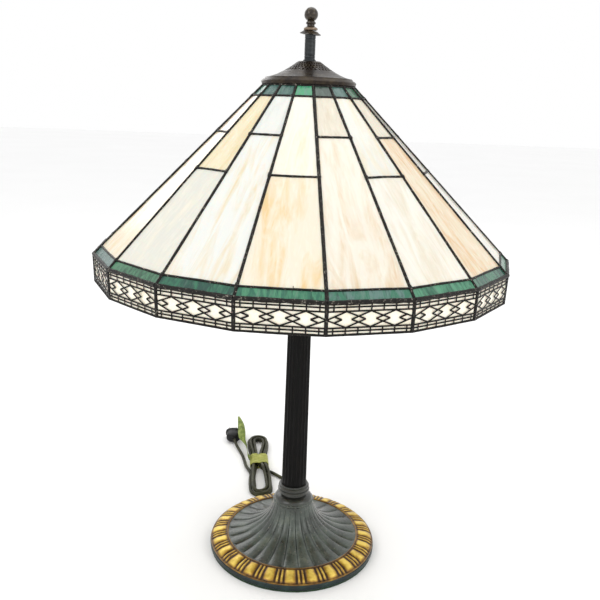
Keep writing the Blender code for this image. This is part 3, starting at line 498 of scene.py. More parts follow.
nickel = Finish("nickel_blade", 0.28, 1.0)
nickel.colour(nickel.noise(200, 3), (0.3, paint(168, 160, 142)), (0.7, paint(205, 200, 188)))
nickel.bump(nickel.noise(600, 2), 0.0001)
bm = bmesh.new()
for side in (-1, 1):
    thickness, length, height = BLADE
    outline = [(0.0, -height / 2), (length - 0.002, -height / 2), (length, -height / 2 + 0.0016),
               (length, height / 2 - 0.0016), (length - 0.002, height / 2), (0.0, height / 2)]
    hole = [(length - 0.0042 + 0.0016 * math.cos(2 * math.pi * step / 12),
             0.0016 * math.sin(2 * math.pi * step / 12)) for step in range(12)]
    edges = []
    for loop in (outline, hole):
        corners = [bm.verts.new(plug_frame @ Vector((side * BLADE_SPACING / 2 - thickness / 2,
                                                     PLUG_LENGTH - 0.0005 + along, 0.0090 + up)))
                   for along, up in loop]
        edges += [bm.edges.new((corners[step], corners[(step + 1) % len(corners)]))
                  for step in range(len(corners))]
    filled = bmesh.ops.triangle_fill(bm, edges=edges, use_beauty=True)
    faces = [item for item in filled["geom"] if isinstance(item, bmesh.types.BMFace)]
    lifted = bmesh.ops.extrude_face_region(bm, geom=faces)
    moved = [item for item in lifted["geom"] if isinstance(item, bmesh.types.BMVert)]
    bmesh.ops.translate(bm, verts=moved, vec=plug_frame.to_3x3() @ Vector((thickness, 0.0, 0.0)))
bmesh.ops.recalc_face_normals(bm, faces=bm.faces)
blade_mesh = bpy.data.meshes.new("plug_blades")
bm.to_mesh(blade_mesh)
bm.free()
plug_blades = show("plug_blades", blade_mesh, nickel, "root", "steel")


# ---- Shade glass: 36 flat opalescent panes, cut from sheets of streaky cream, white and amber glass.
# The streaks run mostly up the slope and differ from pane to pane; the leads hold the edges.
PANELS = 18
SEAM_TURN = math.radians(5.6)
SHADE_RADIUS = 0.2540
SHADE_EDGE_Z = 0.4150
SHADE_TOP_RADIUS = 0.0510
SHADE_TOP_Z = 0.6180
TOP_COLLAR = 0.0100               # distances down the slope
TOP_BAND = 0.0237
CROSS_HIGH = 0.0826
CROSS_LOW = 0.1376
EDGE_BAND = 0.0137
SKIRT_HEIGHT = 0.0330
SKIRT_TAPER = 0.0010
GLASS_FRONT = 0.0010              # depths of the glass behind the leads' face
GLASS_BACK = 0.0036
GLASS_TONE = (0.84, 0.84, 0.81, 1.0)   # the sheets are less white than a fresh sample
PANE_WAVE = 0.00009
TUCK = 0.0009                     # how far a pane's edge lies from the lead's middle

slope_top = Vector((SHADE_TOP_RADIUS, SHADE_TOP_Z))
slope_edge = Vector((SHADE_RADIUS, SHADE_EDGE_Z))
slope_length = (slope_edge - slope_top).length
slope_down = (slope_edge - slope_top).normalized()
slope_out = Vector((-slope_down.y, slope_down.x))
skirt_down = Vector((-SKIRT_TAPER, -SKIRT_HEIGHT)).normalized()
skirt_out = Vector((-skirt_down.y, skirt_down.x))
mitre = (slope_out + skirt_out) / (1 + slope_out.dot(skirt_out))


def wall_point(down, depth):
    """Radius and height at a distance down the wall and a depth into it."""
    if abs(down - slope_length) < 1e-6:
        return slope_edge - mitre * depth
    if down < slope_length:
        return slope_top + slope_down * down - slope_out * depth
    return slope_edge + skirt_down * (down - slope_length) - skirt_out * depth


def seam_point(seam, down, depth):
    """A point of one of the eighteen seams, so far down the slope and so deep under its face."""
    radius, height = wall_point(down, depth)
    angle = SEAM_TURN + 2 * math.pi * seam / PANELS
    return Vector((radius * math.sin(angle), -radius * math.cos(angle), height))


def panel_point(panel, share, down, depth, inset=0.0):
    """A point of one flat panel, at a share of the way between its two seams."""
    left = seam_point(panel, down, depth)
    right = seam_point(panel + 1, down, depth)
    margin = inset / (right - left).length
    return left.lerp(right, margin + share * (1 - 2 * margin))


def glass_plate(panel, down_from, down_to, across_steps, down_steps, wave):
    """Points, faces and texture places of one plate; its face is slightly wavy."""
    points, places, faces = [], [], []
    for depth in (GLASS_FRONT, GLASS_BACK):
        for row in range(down_steps + 1):
            down = down_from + (down_to - down_from) * row / down_steps
            for step in range(across_steps + 1):
                share = step / across_steps
                ripple = wave * (math.sin(share * 7 + panel)
                                 + math.sin(down * 90 + panel * 2.3 + share * 3))
                point = panel_point(panel, share, down, depth + ripple, TUCK)
                points.append(point)
                width = (seam_point(panel + 1, down, 0) - seam_point(panel, down, 0)).length
                places.append(((share - 0.5) * width, down, panel * 0.37))
    count = across_steps + 1
    layer = count * (down_steps + 1)
    for row in range(down_steps):
        for step in range(across_steps):
            corner = row * count + step
            faces.append((corner, corner + count, corner + count + 1, corner + 1))
            faces.append((layer + corner, layer + corner + 1,
                          layer + corner + count + 1, layer + corner + count))
    border = ([step for step in range(count)]
              + [row * count + count - 1 for row in range(1, down_steps + 1)]
              + [down_steps * count + step for step in range(count - 2, -1, -1)]
              + [row * count for row in range(down_steps - 1, 0, -1)])
    for here, following in zip(border, border[1:] + border[:1]):
        faces.append((here, following, layer + following, layer + here))
    return points, faces, places


def colour_points(mesh, name, colours):
    """Store one colour at every point."""
    layer = mesh.attributes.new(name, "FLOAT_COLOR", "POINT")
    layer.data.foreach_set("color", [value for colour in colours for value in colour])


def place_points(mesh, places):
    """Store every point's place on the sheet of glass it was cut from."""
    layer = mesh.attributes.new("sheet", "FLOAT_VECTOR", "POINT")
    layer.data.foreach_set("vector", [value for place in places for value in place])


def opal_glass(name, across, down, gloss, painted_glow=0.0):
    """Streaky glass: two colours of its own mixed by streaks, with milky wisps and a glossy wave, and a
    painted glow of its own colour, as if lit through.
    """
    glass = Finish(name, gloss, Specular_IOR_Level=0.45, Coat_Weight=0.2, Coat_Roughness=0.08,
                   Subsurface_Weight=0.12, Subsurface_Scale=0.004)
    sheet = glass.own("sheet").outputs["Vector"]
    streak_place = glass.stretched(sheet, (across, down, 40.0))
    streaks = glass.noise(1.0, 5, place=streak_place, distortion=1.1, rough=0.55)
    wisp_place = glass.stretched(sheet, (across * 2.1, down * 2.6, 33.0))
    wisps = glass.noise(1.0, 6, place=wisp_place, distortion=2.2)
    share = glass.ramp(streaks, (0.44, 0.0), (0.70, 0.85))
    colour = glass.mix(share, glass.own("ground").outputs["Color"], glass.own("streak").outputs["Color"])
    milk = glass.ramp(wisps, (0.45, 0.0), (0.72, 0.42))
    colour = glass.mix(milk, colour, paint(250, 246, 236))
    glass.feed("Base Color", glass.mix(1.0, colour, GLASS_TONE, "MULTIPLY"))
    # Painted light: the glass gives off its own colour, as if lit from behind.
    glass.feed("Emission Color", colour)
    glass.shader.inputs["Emission Strength"].default_value = painted_glow
    glass.shine(wisps, gloss * 0.6, gloss * 1.7)
    glass.bump(glass.noise(1.0, 3, place=glass.stretched(sheet, (38, 16, 20)), distortion=0.6), 0.0011)
    return glass


WHITE = paint(243, 240, 232)
CREAM = paint(244, 232, 206)
PALE = paint(232, 232, 226)
BEIGE = paint(226, 214, 190)
# ground and streak of the upper and lower pane of each panel, from the first on
PANE_PAINTS = [
    (paint(228, 220, 204), paint(206, 192, 166), paint(240, 234, 222), paint(226, 200, 164)),
    (PALE, paint(238, 222, 188), WHITE, paint(226, 214, 190)),
    (paint(236, 226, 204), paint(204, 198, 184), paint(236, 220, 192), paint(226, 180, 124)),
    (paint(214, 210, 198), paint(186, 184, 172), PALE, CREAM),
    (CREAM, BEIGE, WHITE, paint(232, 200, 150)),
    (PALE, WHITE, CREAM, paint(236, 192, 124)),
    (BEIGE, CREAM, paint(226, 224, 214), BEIGE),
    (WHITE, paint(222, 216, 200), CREAM, paint(222, 180, 120)),
    (paint(236, 226, 204), WHITE, PALE, CREAM),
    (PALE, BEIGE, WHITE, paint(236, 206, 152)),
    (CREAM, PALE, BEIGE, CREAM),
    (WHITE, paint(236, 214, 170), PALE, paint(222, 202, 160)),
    (BEIGE, PALE, CREAM, paint(232, 192, 132)),
    (CREAM, paint(228, 206, 170), PALE, WHITE),
    (paint(238, 220, 200), paint(224, 196, 168), CREAM, paint(234, 198, 142)),
    (paint(242, 230, 196), paint(232, 210, 160), paint(228, 228, 220), paint(242, 236, 220)),
    (paint(236, 238, 236), paint(220, 224, 222), paint(238, 240, 238), paint(234, 214, 172)),
    (WHITE, paint(240, 228, 190), paint(242, 234, 216), paint(238, 204, 142))]

pane_glass = opal_glass("streaky_glass", 62, 11, 0.16)
for panel, (upper_ground, upper_streak, lower_ground, lower_streak) in enumerate(PANE_PAINTS):
    cross = CROSS_HIGH if panel % 2 == 0 else CROSS_LOW
    number = f"{panel + 1:02d}"
    for place, top, bottom, ground, streak in (
            ("upper", TOP_BAND, cross, upper_ground, upper_streak),
            ("lower", cross, slope_length - EDGE_BAND, lower_ground, lower_streak)):
        points, faces, places = glass_plate(panel, top, bottom, 10, 16, PANE_WAVE)
        mesh = mesh_of(f"{place}_glass_{number}", points, faces)
        place_points(mesh, places)
        colour_points(mesh, "ground", [ground] * len(points))
        colour_points(mesh, "streak", [streak] * len(points))
        show(f"{place}_glass_{number}", mesh, pane_glass, "shade", "cream_glass",
             f"{place}_pane_{number}", sharp=30)


# ---- Green bands: narrow plates of mottled sea-green glass under the cap and above the skirt,
# soldered between the leads. Eighteen plates to a band, each a little different, one brighter.
BAND_PAINTS = [(paint(70, 82, 78), paint(92, 104, 98)), (paint(92, 122, 122), paint(62, 104, 98)),
               (paint(40, 92, 68), paint(84, 140, 108)), (paint(60, 126, 100), paint(40, 84, 76)),
               (paint(92, 156, 124), paint(52, 116, 96)), (paint(66, 128, 106), paint(112, 140, 138)),
               (paint(48, 110, 88), paint(96, 160, 130))]
BAND_OF_PANEL = [0, 1, 2, 3, 4, 5, 6, 3, 4, 5, 6, 3, 4, 5, 5, 1, 1, 4]
BAND_WAVE = 0.00006
BRIGHT = (paint(70, 176, 124), paint(100, 160, 140))


def joined_plates(name, down_from, down_to, paints, finish, slot, node):
    """One plate in every panel, all in one piece."""
    points, faces, places, grounds, streaks = [], [], [], [], []
    for panel in range(PANELS):
        plate_points, plate_faces, plate_places = glass_plate(panel, down_from, down_to, 12, 4, BAND_WAVE)
        faces += [tuple(index + len(points) for index in face) for face in plate_faces]
        points += plate_points
        places += plate_places
        grounds += [paints[panel][0]] * len(plate_points)
        streaks += [paints[panel][1]] * len(plate_points)
    mesh = mesh_of(name, points, faces)
    place_points(mesh, places)
    colour_points(mesh, "ground", grounds)
    colour_points(mesh, "streak", streaks)
    return show(name, mesh, finish, "shade", slot, node, sharp=30)


green = Finish("sea_green_glass", 0.16, Specular_IOR_Level=0.45, Coat_Weight=0.2, Coat_Roughness=0.08)
green_sheet = green.own("sheet").outputs["Vector"]
mottle = green.noise(1.0, 5, place=green.stretched(green_sheet, (95, 30, 60)), distortion=1.3, rough=0.6)
veil = green.noise(1.0, 4, place=green.stretched(green_sheet, (150, 34, 45)), distortion=1.6)
green_colour = green.mix(green.ramp(mottle, (0.42, 0.0), (0.58, 1.0)), green.own("ground").outputs["Color"],
                         green.own("streak").outputs["Color"])
green_colour = green.mix(green.ramp(veil, (0.55, 0.0), (0.72, 0.55)), green_colour, paint(122, 150, 138))
green_colour = green.mix(green.ramp(veil, (0.28, 0.6), (0.42, 0.0)), green_colour, paint(28, 66, 58))
green.feed("Base Color", green.mix(1.0, green_colour, (0.62, 0.74, 0.66, 1.0), "MULTIPLY"))
green.shine(mottle, 0.08, 0.24)
green.bump(veil, 0.0008)
band_paints = [BAND_PAINTS[index] for index in BAND_OF_PANEL]
top_paints = band_paints[:PANELS - 1] + [BRIGHT]
edge_paints = band_paints[5:] + band_paints[:5]
joined_plates("top_band_plates", TOP_COLLAR * 0.5, TOP_BAND, top_paints, green, "green_glass",
              "top_band_glass")
joined_plates("edge_band_plates", slope_length - EDGE_BAND, slope_length - 0.0005, edge_paints, green,
              "green_glass", "edge_band_glass")


# ---- Skirt glass: a plain cream plate hangs behind the filigree of every panel, cut from the same
# sheets as the panes and held by the straps at its ends. It has a painted glow, as if lit through.
# Painted light: these plates glow with their own colour, standing for light through the glass.
skirt_glass = opal_glass("skirt_cream_glass", 45, 45, 0.2, painted_glow=0.28)
joined_plates("skirt_plates", slope_length + 0.0005, slope_length + SKIRT_HEIGHT - 0.0008,
              [(paint(246, 240, 224), paint(236, 226, 202))] * PANELS, skirt_glass, "cream_glass",
              "skirt_glass")


# ---- Leads: soft came, soldered at every crossing, pressed over the panes' edges inside and out.
# Seams run down the slope, with cross leads between them; straps carry the skirt. Dark patina,
# worn silvery in specks, with solder blobs at the joints.
LEAD_MIDDLE = 0.0023              # depth of the leads' middle line
LEAD_HALF_DEPTH = 0.0030
SEAM_HALF = 0.0017                # half widths on the glass
CROSS_HALF = 0.0015
BAND_HALF = 0.0014
EDGE_HALF = 0.0022
RIM_HALF = 0.0013
LEAD_SECTION = 12

lead_random = random.Random(7)
lead_points, lead_faces = [], []


def add_bead(path, outs, half_width, half_depth, unevenness=0.06):
    """A flattened round bar along a path; outs point away from the glass at each place of it."""
    rings = []
    phase = lead_random.uniform(0, 6)
    for index, (middle, out) in enumerate(zip(path, outs)):
        ahead = path[min(index + 1, len(path) - 1)] - path[max(index - 1, 0)]
        aside = ahead.cross(out).normalized()
        swell = 1 + unevenness * (math.sin(index * 0.9 + phase) + math.sin(index * 2.3 + phase * 3)) / 2
        ring = []
        for step in range(LEAD_SECTION):
            angle = 2 * math.pi * step / LEAD_SECTION
            wide = math.copysign(abs(math.cos(angle)) ** 0.8, math.cos(angle)) * half_width * swell
            deep = math.copysign(abs(math.sin(angle)) ** 0.9, math.sin(angle)) * half_depth
            deep *= 0.5 + swell / 2
            ring.append(middle + aside * wide + out * deep)
        rings.append(ring)
    points, faces = skin(rings, capped=True)
    lead_faces.extend(tuple(index + len(lead_points) for index in face) for face in faces)
    lead_points.extend(points)


def add_blob(middle, out, along, length, width, height):
    """A drop of solder: a flat dome on a lead."""
    aside = along.cross(out).normalized()
    first = len(lead_points)
    rings, count = 4, 12
    for ring in range(rings):
        share = math.cos(math.pi / 2 * ring / rings)
        rise = math.sin(math.pi / 2 * ring / rings)
        for step in range(count):
            angle = 2 * math.pi * step / count
            rough = 1 + 0.12 * math.sin(step * 2.1 + length * 9000)
            reach = along * (length / 2 * share * math.cos(angle) * rough)
            spread = aside * (width / 2 * share * math.sin(angle) * rough)
            lead_points.append(middle + reach + spread + out * (height * rise))
    lead_points.append(middle + out * height)
    for ring in range(rings - 1):
        for step in range(count):
            beside = (step + 1) % count
            lead_faces.append((first + ring * count + step, first + ring * count + beside,
                               first + (ring + 1) * count + beside, first + (ring + 1) * count + step))
    crown = first + (rings - 1) * count
    for step in range(count):
        lead_faces.append((crown + step, crown + (step + 1) % count, len(lead_points) - 1))
    lead_faces.append(tuple(range(first + count - 1, first - 1, -1)))


def panel_out(panel, share=0.5, skirt=False):
    """Outward direction at a share of a panel's width; 0 and 1 give the seams' own."""
    angle = SEAM_TURN + 2 * math.pi * (panel + share) / PANELS
    out = skirt_out if skirt else slope_out
    return Vector((out.x * math.sin(angle), -out.x * math.cos(angle), out.y))


def add_joint_blob(seam, down, length, width, height):
    """A drop of solder where a seam meets a cross lead, drawn out along the seam."""
    along = (seam_point(seam, down + 0.005, 0.0) - seam_point(seam, down - 0.005, 0.0)).normalized()
    add_blob(seam_point(seam, down, -0.0002), panel_out(seam, 0.0), along, length, width, height)


skirt_end = slope_length + SKIRT_HEIGHT
for seam in range(PANELS):
    half_width = SEAM_HALF * (1.25 if seam == 0 else lead_random.uniform(0.92, 1.08))
    steps = 48
    path = [seam_point(seam, slope_length * step / steps, LEAD_MIDDLE) for step in range(steps + 1)]
    add_bead(path, [panel_out(seam, 0.0)] * len(path), half_width, LEAD_HALF_DEPTH)
    path = [seam_point(seam, slope_length + SKIRT_HEIGHT * step / 8, 0.0012) for step in range(9)]
    add_bead(path, [panel_out(seam, 0.0, skirt=True)] * len(path), 0.0020, 0.0018)
for panel in range(PANELS):
    cross = CROSS_HIGH if panel % 2 == 0 else CROSS_LOW
    for down, half_width, depth, half_depth, skirt in (
            (0.0010, BAND_HALF, LEAD_MIDDLE, LEAD_HALF_DEPTH, False),
            (TOP_COLLAR * 0.62, BAND_HALF, LEAD_MIDDLE, LEAD_HALF_DEPTH * 0.93, False),
            (TOP_BAND, BAND_HALF, LEAD_MIDDLE, LEAD_HALF_DEPTH * 0.93, False),
            (cross, CROSS_HALF, LEAD_MIDDLE, LEAD_HALF_DEPTH * 0.93, False),
            (slope_length - EDGE_BAND, BAND_HALF, LEAD_MIDDLE, LEAD_HALF_DEPTH * 0.93, False),
            (slope_length, EDGE_HALF, 0.0016, LEAD_HALF_DEPTH, False),
            (skirt_end - 0.0008, RIM_HALF, 0.0014, 0.0018, True)):
        drift = lead_random.uniform(-0.0004, 0.0004) if down != slope_length else 0.0
        path = [panel_point(panel, step / 16, down + drift * (1 - abs(step / 8 - 1)), depth)
                for step in range(17)]
        add_bead(path, [panel_out(panel, skirt=skirt)] * len(path), half_width, half_depth,
                 0.16 if down == slope_length else 0.08)
    for down in (TOP_BAND, slope_length - EDGE_BAND):
        add_joint_blob(panel, down, lead_random.uniform(0.005, 0.009),
                       lead_random.uniform(0.0038, 0.0048), 0.0009)
    for neighbour in (panel, panel + 1):
        add_joint_blob(neighbour, cross, lead_random.uniform(0.005, 0.009), 0.0042, 0.0008)
blob_panel = PANELS - 1
blob_middle = panel_point(blob_panel, 0.63, slope_length - EDGE_BAND - 0.0004, -0.0002)
blob_along = panel_point(blob_panel, 1, 0.2, 0) - panel_point(blob_panel, 0, 0.2, 0)
add_blob(blob_middle, panel_out(blob_panel), blob_along, 0.0130, 0.0052, 0.0014)

lead = Finish("patinated_lead", 0.45, 0.08, Specular_IOR_Level=0.22)
worn = lead.noise(260, 6, rough=0.65)
specks = lead.noise(900, 3)
lead_colour = lead.ramp(worn, (0.30, paint(13, 12, 10)), (0.54, paint(24, 21, 18)),
                        (0.70, paint(50, 46, 39)))
silvery = lead.ramp(lead.maths("MULTIPLY", worn, specks), (0.33, 0.0), (0.38, 0.85))
lead_colour = lead.mix(silvery, lead_colour, paint(150, 145, 134))
lead.feed("Base Color", lead_colour)
lead.shine(worn, 0.3, 0.6)
lead.bump(worn, 0.0009)
show("lead_cames", mesh_of("lead_cames", lead_points, lead_faces), lead, "shade", "lead", "lead_frame",
     sharp=50)


# ---- Skirt filigree: a pierced brass strip in every panel, blackened, soldered over the skirt glass.
# Brick-like openings above and below, and between them a lattice of three large rhombi.
FILIGREE_DEPTH = -0.0002          # of the bars' middle, in front of the glass
BAR_HALF = 0.00070
BAR_HALF_DEPTH = 0.00045
FILIGREE_LINES = [0.0005, 0.0045, 0.0086, 0.0248, 0.0281, 0.0322]
LATTICE_MIDDLE = 0.0167
LATTICE_HALF = 0.0079
RHOMBUS_CENTRES = [-0.28, 0.0, 0.28]
RHOMBUS_HALF = 0.22               # shares of the panel's width
BRICK = 0.1415

filigree_points, filigree_faces = [], []


def add_bar(panel, start, stop, thickness=1.0):
    """A straight bar between two places (share of the width from its middle, way down the skirt)."""
    ends = [panel_point(panel, share + 0.5, slope_length + down, FILIGREE_DEPTH)
            for share, down in (start, stop)]
    out = panel_out(panel, skirt=True)
    ahead = (ends[1] - ends[0]).normalized()
    aside = ahead.cross(out).normalized()
    rings = []
    for end in ends:
        ring = []
        for step in range(8):
            angle = 2 * math.pi * (step + 0.5) / 8
            ring.append(end + aside * (math.cos(angle) * BAR_HALF * 1.08 * thickness)
                        + out * (math.sin(angle) * BAR_HALF_DEPTH * 1.08 * thickness))
        rings.append(ring)
    points, faces = skin(rings, capped=True)
    filigree_faces.extend(tuple(index + len(filigree_points) for index in face) for face in faces)
    filigree_points.extend(points)


for panel in range(PANELS):
    for down in FILIGREE_LINES:
        add_bar(panel, (-0.485, down), (0.485, down), 1.15)
    for column_number in range(-3, 4):
        share = column_number * BRICK
        add_bar(panel, (share, FILIGREE_LINES[0]), (share, FILIGREE_LINES[2]))
        add_bar(panel, (share, FILIGREE_LINES[3]), (share, FILIGREE_LINES[5]))
    for centre in RHOMBUS_CENTRES:
        for side in (-1, 1):
            for up in (-1, 1):
                add_bar(panel, (centre + side * RHOMBUS_HALF, LATTICE_MIDDLE),
                        (centre, LATTICE_MIDDLE + up * LATTICE_HALF), 1.1)
    for side in (-1, 1):
        for up in (-1, 1):
            add_bar(panel, (side * 0.415, LATTICE_MIDDLE + up * LATTICE_HALF * 0.386),
                    (side * 0.33, LATTICE_MIDDLE), 1.2)

filigree = Finish("blackened_brass", 0.5, 0.05, Specular_IOR_Level=0.18)
tarnish = filigree.noise(240, 5)
filigree.colour(tarnish, (0.34, paint(8, 7, 6)), (0.62, paint(20, 17, 13)), (0.82, paint(66, 58, 44)))
filigree.shine(tarnish, 0.3, 0.6)
filigree.bump(filigree.noise(700, 3), 0.0003)
show("skirt_lattice", mesh_of("skirt_lattice", filigree_points, filigree_faces), filigree, "shade",
     "filigree_brass", "skirt_filigree")


# ---- Vented cap: a spun brass cap, browned, over the shade's top opening.
# A rolled lip grips the glass; four staggered rows of diamond holes let the heat out.
CAP_LIP = 0.0049
CAP_LIP_THICKNESS = 0.0020
CAP_TOP_RADIUS = 0.0132
CAP_SHEET = 0.0013
CAP_KNEE_IN = 0.0047
CAP_KNEE_RISE = 0.0062
CAP_HOLE = 0.0053
VENTS_ROUND = 36
VENT_ROWS = 4
VENT_INNER = 0.0168
VENT_PITCH = 0.0036
VENT_WIDE = 0.0024                # half diagonals, for the outermost row
VENT_LONG = 0.0021

cap_top_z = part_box("vented_cap")[1].z
lip = wall_point(CAP_LIP, -0.0003)
lip_out = wall_point(CAP_LIP, -0.0003 - CAP_LIP_THICKNESS)
knee = lip_out + Vector((-CAP_KNEE_IN, CAP_KNEE_RISE))
cap_curve = []
for step in range(13):
    share = step / 12
    cap_curve.append((knee.x + (CAP_TOP_RADIUS - knee.x) * share,
                      knee.y + (cap_top_z - knee.y) * share ** 1.5))
cap_lip = [(lip.x, lip.y), (lip.x + 0.0010, lip.y - 0.0002), (lip_out.x, lip_out.y + 0.0002),
           (lip_out.x + 0.0004, lip_out.y + 0.0014), (lip_out.x - 0.0003, lip_out.y + 0.0026),
           (knee.x + 0.0012, knee.y - 0.0018)]
cap_under = [(radius, height - CAP_SHEET) for radius, height in reversed(cap_curve)]
cap_outline = (cap_lip + cap_curve + [(CAP_HOLE, cap_top_z), (CAP_HOLE, cap_top_z - CAP_SHEET)] + cap_under
               + [(lip.x - 0.0030, lip.y + 0.0038)])
cap_points, cap_faces = turned(cap_outline, 180)
cap_bronze = Finish("browned_brass", 0.32, 0.6)
cap_wear = cap_bronze.noise(90, 5)
cap_rings = cap_bronze.noise(1.0, 3, place=cap_bronze.stretched(cap_bronze.place, (120, 120, 900)))
cap_bronze.colour(cap_wear, (0.3, paint(24, 17, 12)), (0.5, paint(42, 32, 23)), (0.72, paint(64, 54, 36)))
cap_bronze.shine(cap_rings, 0.24, 0.42)
cap_bronze.bump(cap_rings, 0.0003)
vented = show("pierced_cap", mesh_of("pierced_cap", cap_points, cap_faces), cap_bronze, "shade", "bronze",
              "vented_cap", sharp=45)

vent_points, vent_faces = [], []
for row in range(VENT_ROWS):
    radius = VENT_INNER + VENT_PITCH * row
    size = radius / (VENT_INNER + VENT_PITCH * (VENT_ROWS - 1))
    for vent in range(VENTS_ROUND):
        angle = 2 * math.pi * (vent + 0.5 * (row % 2)) / VENTS_ROUND
        first = len(vent_points)
        for height in (cap_top_z - 0.030, cap_top_z + 0.010):
            for aside, along in ((1, 0), (0, 1), (-1, 0), (0, -1)):
                reach = radius + along * VENT_LONG
                turn = angle + aside * VENT_WIDE * size / radius * 0.78
                vent_points.append((reach * math.sin(turn), -reach * math.cos(turn), height))
        vent_faces += [(first, first + 1, first + 2, first + 3),
                       (first + 7, first + 6, first + 5, first + 4)]
        vent_faces += [(first + step, first + 4 + step, first + 4 + (step + 1) % 4, first + (step + 1) % 4)
                       for step in range(4)]
vent_cutter = bpy.data.objects.new("vent_cutter", mesh_of("vent_cutter", vent_points, vent_faces))
bpy.context.scene.collection.objects.link(vent_cutter)
vents = vented.modifiers.new("vents", "BOOLEAN")
vents.solver = "EXACT"
vents.object = vent_cutter
bpy.context.view_layer.update()
pierced = bpy.data.meshes.new_from_object(vented.evaluated_get(bpy.context.evaluated_depsgraph_get()))
vented.modifiers.remove(vents)
vented.data = pierced
bpy.data.objects.remove(vent_cutter)


# ---- Riser sleeve: a slate-coloured steel tube between cap and washer, with fine turned rings.
# It slides over the rod and stands on the cap.
SLEEVE_BORE = 0.0052
SLEEVE_FOOT = 0.0012              # the foot stands out this far
SLEEVE_RINGS = [0.0035, 0.0065, 0.0246]   # heights over its foot
sleeve_low, sleeve_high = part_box("riser_sleeve")
sleeve_radius = (sleeve_high.x - sleeve_low.x) / 2
sleeve_outline = [(SLEEVE_BORE, sleeve_low.z), (sleeve_radius + SLEEVE_FOOT, sleeve_low.z),
                  (sleeve_radius + SLEEVE_FOOT, sleeve_low.z + 0.0014),
                  (sleeve_radius, sleeve_low.z + 0.0018)]
for height in SLEEVE_RINGS:
    ring_z = sleeve_low.z + height
    sleeve_outline += [(sleeve_radius, ring_z - 0.0005), (sleeve_radius - 0.0004, ring_z - 0.0002),
                       (sleeve_radius - 0.0004, ring_z + 0.0002), (sleeve_radius, ring_z + 0.0005)]
sleeve_outline += [(sleeve_radius, sleeve_high.z - 0.0003), (sleeve_radius - 0.0003, sleeve_high.z),
                   (SLEEVE_BORE, sleeve_high.z)]
slate = Finish("slate_steel", 0.36, 0.3)
slate_wear = slate.noise(1.0, 4, place=slate.stretched(slate.place, (160, 160, 420)))
slate.colour(slate_wear, (0.3, paint(26, 29, 30)), (0.55, paint(38, 43, 45)), (0.75, paint(62, 66, 66)))
slate.shine(slate_wear, 0.25, 0.45)
slate.bump(slate_wear, 0.0003)
show("riser_tube", mesh_of("riser_tube", *turned(sleeve_outline, 64)), slate, "root", "steel",
     "riser_sleeve")


# ---- Finial washer: a thin dished disc of aged brass, pressed from sheet. It sits a little askew
# under the finial.
WASHER_RADIUS = 0.0122
WASHER_SHEET = 0.0008
WASHER_DROP = 0.0012
WASHER_TILT = math.radians(5.0)
washer_low, washer_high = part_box("finial_washer")
washer_middle = (washer_low + washer_high) / 2
washer_outline = [(0.0054, 0.0002), (0.0078, 0.0000), (0.0110, -WASHER_DROP), (WASHER_RADIUS, -WASHER_DROP),
                  (WASHER_RADIUS, -WASHER_DROP + WASHER_SHEET),
                  (0.0112, -WASHER_DROP + WASHER_SHEET + 0.0002),
                  (0.0084, 0.0021), (0.0054, 0.0026)]
washer_mesh = mesh_of("dished_washer", *turned(washer_outline, 64))
washer_place = Matrix.Translation(washer_middle + Vector((0, 0, 0.0002)))
washer_mesh.transform(washer_place @ Matrix.Rotation(WASHER_TILT, 4, "Y"))
old_brass = Finish("aged_brass", 0.34, 0.6)
brass_wear = old_brass.noise(160, 6, rough=0.6)
old_brass.colour(brass_wear, (0.32, paint(28, 22, 16)), (0.5, paint(50, 41, 30)),
                 (0.62, paint(72, 62, 44)), (0.76, paint(124, 106, 86)))
old_brass.shine(brass_wear, 0.24, 0.5)
old_brass.bump(brass_wear, 0.0005)
show("dished_washer", washer_mesh, old_brass, "finial_carrier", "brass", "finial_washer")


# ---- Finial: a turned brass knob screwed down on the rod: ball, bead ring, neck and flange.
# Its brown lacquer is speckled and worn through on the flange.
FINIAL_OUTLINE = [(0.0040, 0.0), (0.0066, 0.0), (0.0080, 0.0005), (0.0083, 0.0013), (0.0081, 0.0025),
                  (0.0070, 0.0034), (0.0058, 0.0040), (0.0049, 0.0046), (0.0045, 0.0054), (0.0045, 0.0064),
                  (0.0050, 0.0070), (0.0057, 0.0074), (0.0059, 0.0083), (0.0056, 0.0091), (0.0049, 0.0095),
                  (0.0048, 0.0101)]
BALL_RADIUS = 0.0081
finial_low, finial_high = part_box("finial_knob")
ball_z = finial_high.z - BALL_RADIUS
finial_outline = [(0.0012, finial_low.z + 0.0003)]
finial_outline += [(radius, finial_low.z + height) for radius, height in FINIAL_OUTLINE]
start_angle = math.asin(min(1.0, (ball_z - finial_low.z - 0.0106) / BALL_RADIUS))
for step in range(25):
    angle = -start_angle + (math.pi / 2 + start_angle) * step / 24
    finial_outline.append((max(BALL_RADIUS * math.cos(angle), 0.0003),
                           ball_z + BALL_RADIUS * math.sin(angle)))
knob_brass = Finish("speckled_brass", 0.24, 0.5, Coat_Weight=0.4, Coat_Roughness=0.1)
knob_wear = knob_brass.noise(420, 6, rough=0.65)
knob_colour = knob_brass.ramp(knob_wear, (0.35, paint(24, 18, 13)), (0.5, paint(46, 36, 26)),
                              (0.62, paint(66, 58, 38)), (0.74, paint(130, 120, 96)))
knob_height = knob_brass.own("height").outputs["Fac"]
flange = knob_brass.ramp(knob_height, (0.10, 1.0), (0.16, 0.0))
knob_colour = knob_brass.mix(flange, knob_colour, paint(122, 104, 84))
knob_brass.feed("Base Color", knob_colour)
knob_brass.shine(knob_wear, 0.18, 0.42)
knob_brass.bump(knob_wear, 0.0003)
knob_mesh = mesh_of("turned_finial", *turned(finial_outline, 72))
heights = knob_mesh.attributes.new("height", "FLOAT", "POINT")
heights.data.foreach_set("value", [(point.co.z - finial_low.z) / (finial_high.z - finial_low.z)
                                   for point in knob_mesh.vertices])
show("turned_finial", knob_mesh, knob_brass, "finial", "brass", "finial_knob")


